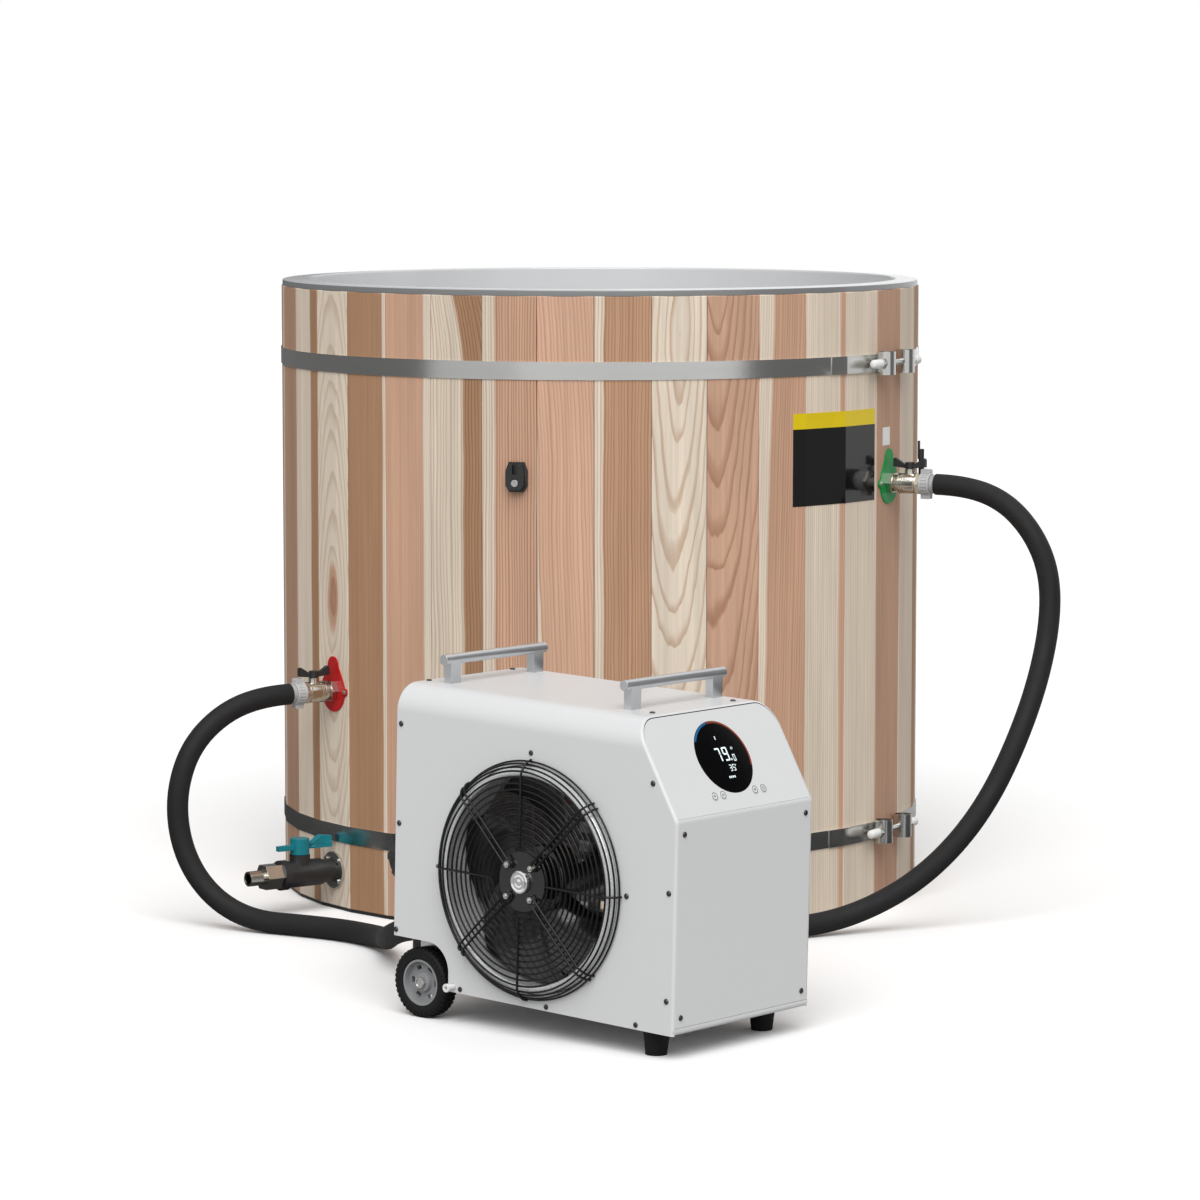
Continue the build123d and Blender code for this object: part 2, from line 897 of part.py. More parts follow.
def wheel_arches(margin=0.0):
    """Arch over each wheel, cut through the side and the rear panel."""
    top = arch_top + margin
    front = arch_front + margin
    outline = make_face(
        Polyline((case_rear - 10, 0), (case_rear - 10, top), (front, top), (front, 0), close=True)
    )
    corner = [v for v in outline.vertices() if v.X > 0 and v.Y > 1]
    outline = fillet(corner, arch_bend)
    bay = wheel_inset + wheel_width + bay_gap + margin
    cut = extrude(Plane.XZ * outline, bay + 1.0)
    near = Pos(0, -case_side + bay, 0) * cut
    far = Pos(0, case_side + 1.0, 0) * cut
    return [near, far]


def shell():
    """Folded cover over the top and both sides."""
    body = case_block(0, case_rear, case_front)
    body -= case_block(case_sheet, case_rear - 1, case_front + 1)
    inner = case_side - case_sheet
    body -= block(case_rear - 1, case_front + 1, -inner, inner, 0, case_bottom + 1)
    body -= front_cut()
    for arch in wheel_arches():
        body -= arch
    body -= rod_y(fan_mouth_radius, -case_side - 5, -case_side + 5, *fan_at)
    slots = []
    rows = 11
    pitch = coil_size[2] / rows
    for column in (-1, 1):
        for row in range(rows):
            x = coil_at[0] + column * coil_size[0] / 4
            z = fan_at[1] + (row - (rows - 1) / 2) * pitch
            slots.append(
                block(x - 68, x + 68, case_side - 5, case_side + 5, z - pitch / 5, z + pitch / 5)
            )
    for slot in slots:
        body -= slot
    nip = nipple_collar_radius - 1.0
    body -= rod_y(nip, -case_side - 5, -case_side + 5, *nipple_at)
    return body


def slant_panel():
    inset = case_sheet + panel_gap
    body = case_block(inset, slant_top_at - 20, case_front)
    body &= front_cut(case_sheet)
    body -= front_cut(0.0)
    body -= block(0, case_front + 5, -case_width, case_width, 0, slant_foot_level + 0.5)
    pocket = slant_plane(display_thickness) * Pos(0, display_up) * Circle(display_radius + panel_gap)
    body -= extrude(pocket, 10)
    for offset in button_offsets:
        hole = slant_plane(10) * Pos(offset, button_up) * Circle(button_radius + seat_gap)
        body -= extrude(hole, 20)
    return body


def display():
    glass = slant_plane(display_thickness) * Pos(0, display_up) * Circle(display_radius)
    return extrude(glass, display_thickness + 0.6)


def buttons():
    """Four round keys, each seated on its own switch."""
    made = []
    for offset in button_offsets:
        key = slant_plane(button_depth) * Pos(offset, button_up) * Circle(button_radius)
        made.append(extrude(key, button_depth + button_proud))
    return made


def panel_circuit():
    """Circuit board behind the slanted panel, with the key switches."""
    deep = button_depth + 1.2
    board = slant_plane(deep + 3.0) * Pos(0, slant_length / 2) * Rectangle(
        case_width - 90, slant_length - 30
    )
    body = extrude(board, 1.6)
    for offset in button_offsets:
        switch = slant_plane(deep + 1.5) * Pos(offset, button_up) * Rectangle(6, 6)
        body += extrude(switch, 1.5)
    for side in (-1, 1):
        stud = slant_plane(deep + 1.5) * Pos(side * (case_side - 60), slant_length - 30) * Circle(3)
        body += extrude(stud, deep + 1.5 - case_sheet)
    return body


def front_panel():
    inset = case_sheet + panel_gap
    half = case_side - inset
    foot = case_bottom + front_panel_foot
    return block(case_front - case_sheet, case_front, -half, half, foot, slant_foot_level)


def rear_panel():
    inset = case_sheet + panel_gap
    body = case_block(inset, case_rear, case_rear + case_sheet)
    body -= block(case_rear - 1, case_rear + 5, -case_side, case_side, 0, case_bottom + tray_height)
    for arch in wheel_arches():
        body -= arch
    body -= rod_x(filter_radius + seat_gap, case_rear - 5, case_rear + 5, *filter_cap_at)
    for y, z in (port_at, elbow_at):
        body -= rod_x(tail_radius + seat_gap, case_rear - 5, case_rear + 5, y, z)
    y, z = inlet_socket_at
    half_w = inlet_socket_size[0] / 2 + seat_gap
    half_h = inlet_socket_size[1] / 2 + seat_gap
    body -= block(case_rear - 5, case_rear + 5, y - half_w, y + half_w, z - half_h, z + half_h)
    for row in range(6):
        level = 330 + row * 16
        body -= block(case_rear - 5, case_rear + 5, -90, 30, level, level + 6)
    return body


def base_tray():
    """Shallow tray under the case, its edge folded up, cut round the wheels."""
    inset = case_sheet
    half = case_side - inset
    top = case_bottom + tray_height
    x1 = case_front
    body = block(case_rear, x1, -half, half, case_bottom, top)
    front_edges = body.edges().filter_by(Axis.Y).group_by(Axis.Z)[0].sort_by(Axis.X)[-1:]
    body = fillet(front_edges, 6.0)
    hollow = block(
        case_rear + tray_sheet,
        x1 - tray_sheet,
        -half + tray_sheet,
        half - tray_sheet,
        case_bottom + tray_sheet,
        top + 1,
    )
    body -= hollow
    body -= block(
        x1 - case_sheet - 0.5, x1 + 1, -half - 1, half + 1, case_bottom + front_panel_foot - 0.5, top + 1
    )
    for arch in wheel_arches():
        body -= arch
    body -= rod_y(nipple_radius + seat_gap, -case_side - 5, -case_side + 12, *nipple_at)
    place = case_side - wheel_inset - wheel_width - bay_gap
    slot = axle_head_across / 2 + 2.0
    link = bracket_link / 2 + seat_gap
    for side in (-1, 1):
        edge = side * (place + 1)
        depth = side * (place - axle_bracket - axle_head - 2.0)
        low, high = min(edge, depth), max(edge, depth)
        body -= block(-slot, slot, low, high, case_bottom - 1, case_bottom + tray_sheet + 1)
        depth = side * (place - axle_bracket - seat_gap)
        low, high = min(edge, depth), max(edge, depth)
        body -= block(-link, link, low, high, case_bottom - 1, case_bottom + tray_sheet + 1)
    return body


def axle_brackets():
    """Plates that carry the axle, standing through the tray by the wheels."""
    made = []
    place = case_side - wheel_inset - wheel_width - bay_gap
    for side in (-1, 1):
        y0 = side * place
        y1 = side * (place - axle_bracket)
        low, high = min(y0, y1), max(y0, y1)
        plate = block(-30, 30, low, high, wheel_radius - 18, case_bottom)
        plate += block(-30, 30, low, high, case_bottom + tray_sheet, arch_top)
        link = bracket_link / 2
        plate += block(-link, link, low, high, case_bottom - 1, case_bottom + tray_sheet + 1)
        plate -= rod_y(axle_radius + run_gap, low - 1, high + 1, 0, wheel_radius)
        made.append(plate)
    return made


def axles():
    """One headed pin for each wheel, through its bracket."""
    made = []
    tip = case_side - wheel_inset - 1.0
    seat = case_side - wheel_inset - wheel_width - bay_gap - axle_bracket
    for side in (-1, 1):
        low, high = sorted((side * seat, side * tip))
        pin = rod_y(axle_radius, low, high, 0, wheel_radius)
        low, high = sorted((side * (seat - axle_head), side * seat))
        sketch = Plane.XZ * RegularPolygon(axle_head_across / 2, 6, major_radius=False)
        made.append(pin + Pos(0, low, wheel_radius) * extrude(sketch, -axle_head))
    return made


def tyre(side):
    """Rubber tyre with a rounded tread."""
    outer = case_side - wheel_inset
    middle = side * (outer - wheel_width / 2)
    half = wheel_width / 2
    shoulder = 5.0
    profile = turned(
        [
            (wheel_rim_radius, -half + 2),
            (wheel_radius - shoulder, -half),
            (wheel_radius, -half + shoulder),
            (wheel_radius, half - shoulder),
            (wheel_radius - shoulder, half),
            (wheel_rim_radius, half - 2),
        ]
    )
    return Location((0, middle, wheel_radius), (90, 0, 0)) * profile


def hub(side):
    """Pressed wheel disc with six windows, turning on the axle."""
    outer = case_side - wheel_inset
    middle = side * (outer - wheel_width / 2)
    half = hub_length / 2
    disc = turned(
        [
            (axle_radius + run_gap, -half + 3),
            (13, -half + 3),
            (15, -3),
            (wheel_rim_radius - 4, -3),
            (wheel_rim_radius - 3, -half),
            (wheel_rim_radius, -half),
            (wheel_rim_radius, half),
            (wheel_rim_radius - 3, half),
            (wheel_rim_radius - 4, 3),
            (15, 3),
            (13, half - 3),
            (axle_radius + run_gap, half - 3),
        ]
    )
    for number in range(6):
        window = Location((0, 0, -20), (0, 0, 60 * number)) * Pos(22, 0, 0)
        disc -= window * extrude(Rectangle(6, 9), 40)
    return Location((0, middle, wheel_radius), (90, 0, 0)) * disc


def wheel_nuts():
    """Nuts on the axle ends, a hair off the wheel discs."""
    made = []
    outer = case_side - wheel_inset
    seat = outer - (wheel_width - hub_length) / 2 - 3 + 0.3
    for side in (-1, 1):
        start = seat if side > 0 else -seat - wheel_nut_height
        sketch = Plane.XZ * RegularPolygon(wheel_nut_across / 2, 6, major_radius=False)
        nut = extrude(sketch, -wheel_nut_height)
        nut -= rod_y(axle_radius, -1, wheel_nut_height + 1)
        made.append(Pos(0, start, wheel_radius) * nut)
    return made


def feet():
    """Tapered rubber feet, cut level with the floor."""
    room = 3 * tub_radius
    floor = block(-room, 2 * room, -room, room, 0, room)
    made = []
    for side in (-1, 1):
        y = side * (case_side - foot_from_side)
        low = case_bottom - foot_height - 4.0
        slope = (foot_radius - foot_tip_radius) / foot_height
        tip = foot_tip_radius - 4.0 * slope
        cone = turned([(0, low), (tip, low), (foot_radius, case_bottom), (0, case_bottom)])
        made.append(on_case(Pos(foot_at, y, 0) * cone) & floor)
    return made


def carry_handles():
    """Two round bars, each on two flat posts."""
    made = []
    level = case_top + handle_bar_rise
    for x in (case_rear + handle_from_rear, case_front - handle_from_front):
        start = handle_shift - handle_bar_length / 2
        bar = rod_y(handle_bar_radius, start, start + handle_bar_length, x, level)
        for side in (-1, 1):
            y = handle_shift + side * post_spacing / 2
            bar += block(
                x - post_length / 2,
                x + post_length / 2,
                y - post_width / 2,
                y + post_width / 2,
                case_top,
                level,
            )
        made.append(bar)
    return made


def case_screws():
    """Pan-head screws round the fan side, the service panel and the top."""
    made = []
    spots = [(case_rear + back, z) for back, z in rear_side_screws]
    spots += [(case_front - ahead, z) for ahead, z in front_side_screws]
    spots += [(fan_at[0] + guard_radius + fan_screw_gap, fan_level + 2.0)]
    for x, z in spots:
        head = Location((x, -case_side, z), (90, 0, 0))
        made.append(head * turned(screw_profile()))
        away = Location((x, case_side, z), (-90, 0, 0))
        made.append(away * turned(screw_profile()))
    rear_spot = (case_rear + rear_top_screw[0], case_side - rear_top_screw[1])
    front_spot = (case_front - front_top_screw[0], case_side - front_top_screw[1])
    for x, y in (rear_spot, front_spot):
        made.append(Location((x, y, case_top)) * turned(screw_profile()))
        made.append(Location((x, -y, case_top)) * turned(screw_profile()))
    for level in service_screws:
        for side in (-1, 1):
            head = Location((case_front, side * service_screw_offset, level), (0, 90, 0))
            made.append(head * turned(screw_profile()))
    return made


def screw_profile():
    r = screw_radius
    h = screw_height
    return [(0, 0), (r, 0), (r, 0.45 * h), (0.72 * r, h), (0, h)]


# Fan


def fan_frame():
    """Frame on the fan's axis at the case side: z points out of the case."""
    return Location((fan_at[0], -case_side, fan_at[1]), (90, 0, 0))


def polygon_ring(radius, bottom, width, height):
    ring = RegularPolygon(radius, guard_ring_sides) - RegularPolygon(radius - width, guard_ring_sides)
    return Pos(0, 0, bottom) * extrude(ring, height)


def fan_guard():
    """Wire basket: rings held by struts that run from the motor plate to the rim."""
    flat = guard_proud - guard_wire
    piece = polygon_ring(guard_radius, 0, guard_wire * 1.5, guard_wire)
    step = (guard_flat_radius - guard_inner_radius) / (guard_ring_count - 1)
    for number in range(guard_ring_count):
        radius = guard_inner_radius + number * step
        piece += polygon_ring(radius + guard_wire / 2, flat, guard_wire, guard_wire)
    side = make_face(
        Polyline(
            (guard_inner_radius - guard_wire / 2, flat - guard_wire),
            (guard_inner_radius - guard_wire / 2, flat),
            (guard_flat_radius + guard_wire, flat),
            (guard_radius, guard_wire / 2),
            (guard_radius, 0),
            (guard_radius - guard_wire, 0),
            (guard_flat_radius, flat - guard_wire),
            close=True,
        )
    )
    strut = extrude(Plane.XZ * side, guard_wire / 2, both=True)
    for number in range(guard_strut_count):
        turn = Location((0, 0, 0), (0, 0, number * 360 / guard_strut_count))
        piece += turn * strut
    return fan_frame() * piece


def fan_duct():
    """Bright ring that the blades run in, flanged behind the case side."""
    top = -case_sheet
    bottom = -duct_depth
    ring = turned(
        [
            (duct_radius, top),
            (duct_radius, bottom),
            (duct_radius + duct_sheet, bottom),
            (duct_radius + duct_sheet, top - duct_sheet),
            (guard_radius - 3, top - duct_sheet),
            (guard_radius - 3, top),
        ]
    )
    return fan_frame() * ring


def fan_motor():
    """Still half of the motor: plate on the guard, neck, shaft."""
    top = guard_proud - 2 * guard_wire
    plate = rod_z(motor_plate_radius, top - motor_plate_thickness, top)
    neck = rod_z(motor_neck_radius, -rotor_face + 2.0, top - 1)
    shaft = rod_z(motor_shaft_radius, -rotor_face - rotor_length + 6.0, -rotor_face + 3)
    return fan_frame() * (plate + neck + shaft)


def motor_cap():
    top = guard_proud - 2 * guard_wire
    cap = turned(
        [
            (0, top),
            (motor_cap_radius, top),
            (motor_cap_radius, top + motor_cap_height - 2),
            (motor_cap_radius - 2, top + motor_cap_height),
            (0, top + motor_cap_height),
        ]
    )
    return fan_frame() * cap


def fan_rotor():
    """Turning cup of the motor with a bore for the shaft."""
    bottom = -rotor_face - rotor_length
    cup = rod_z(rotor_radius, bottom, -rotor_face)
    bore = rod_z(motor_shaft_radius + run_gap, bottom + 5.0, -rotor_face + 1)
    return fan_frame() * (cup - bore)


def fan_blades():
    """Swept blades, pitched about their own radial lines."""
    reach = blade_radius * 1.1
    outline = make_face(
        Wire(
            [
                Line((blade_root_radius - 12, -20), (blade_root_radius - 12, 22)),
                RadiusArc((blade_root_radius - 12, 22), (reach, 66), 220),
                Line((reach, 66), (reach, -32)),
                RadiusArc((reach, -32), (blade_root_radius - 12, -20), -160),
            ]
        )
    )
    middle = -rotor_face - rotor_length / 2
    blank = extrude(outline, blade_sheet / 2, both=True)
    tilted = Location((0, 0, middle), (blade_pitch, 0, 0)) * blank
    room = rod_z(blade_radius, middle - 40, middle + 40) - rod_z(rotor_radius, middle - 50, middle + 50)
    made = []
    for number in range(blade_count):
        turn = Location((0, 0, 0), (0, 0, number * 360 / blade_count))
        made.append(fan_frame() * ((turn * tilted) & room))
    return made


# Inner parts and rear fittings


def condenser_coil():
    """Finned coil behind the side louvres, with its end plates."""
    length, depth, height = coil_size
    x0 = coil_at[0] - length / 2
    y0 = coil_at[1] - depth / 2
    z0 = fan_at[1] - height / 2
    body = block(x0, x0 + 2, y0, y0 + depth, z0, z0 + height)
    body += block(x0 + length - 2, x0 + length, y0, y0 + depth, z0, z0 + height)
    body += block(x0, x0 + length, y0, y0 + depth, z0 - 2, z0)
    body += block(x0, x0 + length, y0, y0 + depth, z0 + height, z0 + height + 2)
    pitch = height / coil_fins
    for number in range(coil_fins):
        z = z0 + (number + 0.5) * pitch
        body += block(x0 + 1, x0 + length - 1, y0 + 3, y0 + depth - 3, z - 6, z + 6)
    foot = block(x0, x0 + length, y0, y0 + 2, case_bottom + tray_sheet, z0 - 1)
    return body + foot


def compressor():
    x, y = case_front - compressor_from_front, compressor_offset
    floor = case_bottom + tray_sheet
    r = compressor_radius
    top = floor + 8 + compressor_height
    can = turned(
        [
            (0, floor + 8),
            (0.7 * r, floor + 8),
            (r, floor + 22),
            (r, top - 18),
            (0.75 * r, top - 4),
            (0, top),
        ]
    )
    feet_plate = block(-r, r, -r * 0.7, r * 0.7, floor, floor + 9)
    return Pos(x, y, 0) * (can + feet_plate)


def heat_exchanger():
    """Water to refrigerant canister on two saddles under the top."""
    x, y, z = exchanger_at
    r = exchanger_radius
    body = rod_x(r, x, x + exchanger_length, y, z)
    for share in (0.2, 0.8):
        sx = x + share * exchanger_length
        body += block(sx - 6, sx + 6, y - r * 0.6, y + r * 0.6, z, case_top - case_sheet)
    return body


def water_pump():
    x, y, z = pump_at
    body = rod_x(pump_radius, x, x + pump_length, y, z)
    body += rod_x(tail_radius, case_rear + 6, x + 1, y, port_at[1])
    floor = case_bottom + tray_sheet
    body += block(x + 20, x + 100, y - 20, y + 20, floor, z)
    return body


def filter_housing():
    y, z = filter_cap_at
    start = case_rear
    body = rod_x(filter_radius, start, start + filter_length, y, z)
    return body + rod_x(filter_radius + 6, start + case_sheet, start + case_sheet + 3, y, z)


def filter_cap():
    """Screw cap with eight grip ribs."""
    y, z = filter_cap_at
    cap = Circle(filter_cap_radius - 3)
    for number in range(8):
        angle = number * 45
        cap += Rot(0, 0, angle) * Pos(filter_cap_radius - 6, 0) * Rectangle(12, 10)
    cap &= Circle(filter_cap_radius)
    piece = extrude(Plane.YZ.offset(case_rear - filter_cap_length) * cap, filter_cap_length)
    return Pos(0, y, z) * piece


def control_box():
    lx, ly, lz = control_box_size
    x, y, z = case_front - control_box_from_front, 0.0, control_box_level
    top = case_top - case_sheet
    return block(x, x + lx, y - ly / 2, y + ly / 2, top - lz, top)


def refrigerant_pipes():
    """Copper pipes from the compressor to the canister and the coil."""
    x, y = case_front - compressor_from_front, compressor_offset
    top = case_bottom + tray_sheet + 8 + compressor_height
    ex, ey, ez = exchanger_at
    end = ex + exchanger_length
    routes = [
        [(x + 12, y, top), (x + 12, y, ez), (end, y, ez)],
        [(x - 12, y, top), (x - 12, y, top + 40), (x - 12, coil_at[1] - coil_size[1] / 2, top + 40)],
    ]
    made = []
    for route in routes:
        path = FilletPolyline(*route, radius=20)
        start = Plane(path @ 0, z_dir=path % 0)
        made.append(sweep(start * Circle(pipe_radius), path))
    return made


def port_fitting():
    """Straight hose tail for the outlet hose, through the rear panel."""
    y, z = port_at
    end = case_rear - port_reach
    body = rod_x(tail_radius, end, case_rear + 6, y, z)
    body += rod_x(port_flange_radius, case_rear - port_flange, case_rear, y, z)
    nut = Location((end + 6, y, z), (0, 0, 0)) * union_nut(0)
    bore = rod_x(valve_bore, end - 1, case_rear + 7, y, z)
    return body - bore, nut


def elbow_frame():
    """Where the elbow's tail points: along +Y, out of the case's far side."""
    y, z = elbow_at
    return Location((case_rear - elbow_reach, y, z), (0, 0, 90))


def elbow_fitting():
    """Elbow for the inlet hose, turned towards the barrel."""
    y, z = elbow_at
    body = rod_x(tail_radius, case_rear - elbow_reach, case_rear + 6, y, z)
    body += Pos(case_rear - elbow_reach, y, z) * Sphere(tail_radius)
    body += rod_x(port_flange_radius, case_rear - port_flange, case_rear, y, z)
    body += elbow_frame() * rod_x(tail_radius, 0, port_tail_length + 6)
    body -= rod_x(valve_bore, case_rear - elbow_reach, case_rear + 7, y, z)
    body -= elbow_frame() * rod_x(valve_bore, 0, port_tail_length + 7)
    nut = elbow_frame() * union_nut(port_tail_length - union_length + 2)
    return body, nut


def power_socket():
    y, z = inlet_socket_at
    w, h = inlet_socket_size
    body = block(case_rear, case_rear + inlet_socket_depth, y - w / 2, y + w / 2, z - h / 2, z + h / 2)
    body += block(case_rear - 2.5, case_rear, y - w / 2 - 5, y + w / 2 + 5, z - h / 2 - 4, z + h / 2 + 4)
    body -= block(case_rear - 3, case_rear + 15, y - w / 2 + 3, y + w / 2 - 3, z - h / 2 + 4, z - 2)
    body -= block(case_rear - 3, case_rear + 4, y - w / 2 + 4, y + w / 2 - 4, z + 4, z + h / 2 - 4)
    return body


def drip_nipple():
    """White condensate nipple on the fan side."""
    x, z = nipple_at
    tip = -case_side - nipple_reach
    body = rod_y(nipple_radius, tip, -case_side + 6, x, z)
    body += rod_y(nipple_collar_radius, tip, tip + 4, x, z)
    return body - rod_y(nipple_bore, tip - 1, -case_side + 4, x, z)


# Hoses


def corner_radii(points):
    """Each corner's arc takes a fixed share of its shorter run."""
    radii = []
    for before, here, after in zip(points, points[1:], points[2:]):
        run_in = Vector(*here) - Vector(*before)
        run_out = Vector(*after) - Vector(*here)
        turn = run_in.get_angle(run_out)
        shorter = min(run_in.length, run_out.length)
        radii.append(hose_arc_share * shorter / tan(radians(turn) / 2))
    return radii


def hose(name, points):
    radii = corner_radii(points)
    path = FilletPolyline(*points, radius=radii)
    start = Plane(path @ 0, z_dir=path % 0)
    solid = sweep(start * RegularPolygon(hose_radius, hose_sides), path)
    area = hose_sides / 2 * hose_radius**2 * sin(2 * pi / hose_sides)
    print(name, "radii", [round(r) for r in radii])
    print(name, "length", round(path.length), "volume share", round(solid.volume / (area * path.length), 4))
    return solid


def valve_mouth(polar, level):
    """Middle of the hose tail's end face and the way it points."""
    frame = stave_frame(polar, level)
    mouth = frame * Location((tail_reach, 0, 0))
    ahead = frame * Location((tail_reach + 1, 0, 0))
    return mouth.position, (ahead.position - mouth.position)


def tuples(vectors):
    return [(v.X, v.Y, v.Z) for v in vectors]


def spoke(polar, radius, level):
    """Point straight out from the barrel's axis."""
    return (radius * cos(radians(polar)), radius * sin(radians(polar)), level)


def outlet_route():
    """Down in one bend, along the floor, and up to the straight rear port."""
    start, ahead = valve_mouth(outlet_polar, outlet_level)
    y, z = port_at
    port = (case_frame * Location((case_rear - port_reach, y, z))).position
    port_ahead = (case_frame * Location((case_rear - port_reach - 1, y, z))).position - port
    free = [
        spoke(-103.7, 726, 333),
        spoke(-104.2, 780, 285),
        spoke(-104.2, 807, 219),
        spoke(-104.2, 806, 149),
        (-174, -774, 88),
        (-129, -761, 42),
        (-68, -743, 17.5),
        (12, -722, 17.5),
        (88, -708, 17.5),
        (156, -714, 18),
        (216, -742, 23),
        (266, -790, 36),
        (318, -836, 54),
        (376, -870, 73),
    ]
    middle = [Vector(*point) for point in free]
    return tuples([start, start + ahead * 50] + middle + [port + port_ahead * 50, port])


def inlet_route():
    """Out and down beside the barrel, behind the chiller to the elbow."""
    start, ahead = valve_mouth(inlet_polar, inlet_level)
    y, z = elbow_at
    frame = case_frame * elbow_frame()
    port = (frame * Location((port_tail_length + 6, 0, 0))).position
    port_ahead = (frame * Location((port_tail_length + 7, 0, 0))).position - port
    free = [
        spoke(inlet_polar, 724, 662),
        spoke(inlet_polar, 774, 614),
        spoke(inlet_polar, 803, 551),
        (788, 180, 474),
        (793, 142, 382),
        (788, 93, 290),
        (772, 46, 206),
        (746, -2, 138),
        (710, -55, 82),
        (666, -112, 42),
        (624, -178, 19),
        (590, -262, 17.5),
        (566, -352, 17.5),
        (548, -448, 20),
        (534, -545, 36),
        (524, -645, 64),
    ]
    middle = [Vector(*point) for point in free]
    return tuples([start, start + ahead * 50] + middle + [port + port_ahead * 62, port])


def build():
    os.makedirs("parts", exist_ok=True)
    save("staves", staves())
    save("base_ring", base_ring())
    save("floor", battens() + floor_boards())
    save("liner", liner())
    save("rim", rim())
    save("hoops", [hoop(upper_hoop_level), hoop(lower_hoop_level)])
    save("hoop_bolts", hoop_bolts())
    save("rod_caps", rod_caps())

    outlet = stave_frame(outlet_polar, outlet_level)
    inlet = stave_frame(inlet_polar, inlet_level)
    drain = stave_frame(outlet_polar, drain_level)
    screws = []
    for name, frame in (("outlet", outlet), ("inlet", inlet)):
        save(f"{name}_plate", frame * wall_plate())
        save(f"{name}_ball", frame * valve_ball())
        save(f"{name}_handle", frame * butterfly_handle())
        screws.extend(frame * screw for screw in plate_screw_set())
    save("plate_screws", screws)
    save("wall_valves", [outlet * valve_shell(), inlet * valve_shell()])
    save("air_bleed", inlet * air_bleed())
    port, port_nut = port_fitting()
    elbow, elbow_nut = elbow_fitting()
    nuts = [outlet * union_nut(), inlet * union_nut(), on_case(port_nut), on_case(elbow_nut)]
    nuts.append(outlet * bulkhead_ring(valve_pipe_radius))
    nuts.append(inlet * bulkhead_ring(valve_pipe_radius))
    nuts.append(drain * bulkhead_ring(drain_bore + 3.0))
    save("ring_nuts", nuts)
    tails = [outlet * hose_tail(), inlet * hose_tail(), on_case(port), on_case(elbow)]
    save("hose_tails", tails)
    save("drain_flange", drain * drain_flange())
    save("drain_valve", drain * drain_valve())
    save("drain_ball", drain * drain_ball())
    save("drain_handle", drain * drain_handle())
    save("drain_adapter", drain * drain_adapter())
    latch = stave_frame(latch_polar, latch_level, latch_offset)
    save("latch_body", latch * latch_body())
    save("latch_plug", latch * latch_plug())

    save("case_shell", on_case(shell()))
    save("slant_panel", on_case(slant_panel()))
    save("front_panel", on_case(front_panel()))
    save("rear_panel", on_case(rear_panel()))
    save("base_tray", on_case(base_tray()))
    axle_set = axle_brackets() + axles() + wheel_nuts()
    save("wheel_axle", [on_case(piece) for piece in axle_set])
    save("near_tyre", on_case(tyre(-1)))
    save("near_hub", on_case(hub(-1)))
    save("far_tyre", on_case(tyre(1)))
    save("far_hub", on_case(hub(1)))
    save("rubber_feet", feet())
    save("carry_handles", [on_case(handle) for handle in carry_handles()])
    save("case_screws", [on_case(screw) for screw in case_screws()])
    save("display", on_case(display()))
    names = ("down_button", "up_button", "mode_button", "power_button")
    for name, key in zip(names, buttons()):
        save(name, on_case(key))
    save("electronics", [on_case(panel_circuit()), on_case(control_box())])
    save("fan_guard", on_case(fan_guard()))
    save("fan_duct", on_case(fan_duct()))
    save("fan_motor", on_case(fan_motor()))
    save("motor_cap", on_case(motor_cap()))
    save("fan_rotor", [on_case(piece) for piece in [fan_rotor()] + fan_blades()])
    save("condenser_coil", on_case(condenser_coil()))
    save("compressor", on_case(compressor()))
    circuit = [heat_exchanger()] + refrigerant_pipes()
    save("heat_exchanger", [on_case(piece) for piece in circuit])
    save("water_pump", on_case(water_pump()))
    save("filter_housing", on_case(filter_housing()))
    save("filter_cap", on_case(filter_cap()))
    save("power_socket", on_case(power_socket()))
    save("drip_nipple", on_case(drip_nipple()))
    save("outlet_hose", hose("outlet_hose", outlet_route()))
    save("inlet_hose", hose("inlet_hose", inlet_route()))


build()
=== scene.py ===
import json
import math
import random

import bmesh
import bpy
from mathutils import Matrix, Vector


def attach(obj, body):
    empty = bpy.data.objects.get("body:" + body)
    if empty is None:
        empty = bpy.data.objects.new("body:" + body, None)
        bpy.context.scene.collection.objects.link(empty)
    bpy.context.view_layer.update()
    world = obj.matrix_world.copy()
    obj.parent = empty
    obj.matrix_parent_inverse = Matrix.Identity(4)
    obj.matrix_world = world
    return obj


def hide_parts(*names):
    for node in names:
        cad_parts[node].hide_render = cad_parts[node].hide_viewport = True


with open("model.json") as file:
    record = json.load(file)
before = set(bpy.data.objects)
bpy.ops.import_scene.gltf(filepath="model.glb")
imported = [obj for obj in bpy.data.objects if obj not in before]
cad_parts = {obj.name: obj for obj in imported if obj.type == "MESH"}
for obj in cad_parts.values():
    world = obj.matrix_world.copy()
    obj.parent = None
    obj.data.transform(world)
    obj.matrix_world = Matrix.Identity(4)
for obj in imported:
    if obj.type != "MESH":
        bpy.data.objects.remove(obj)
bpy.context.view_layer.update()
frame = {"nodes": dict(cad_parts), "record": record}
scene = bpy.context.scene
scene.view_settings.view_transform = "Standard"

ROOT = "tub_and_chiller"
TAU = 2 * math.pi
RND = random.Random(7)

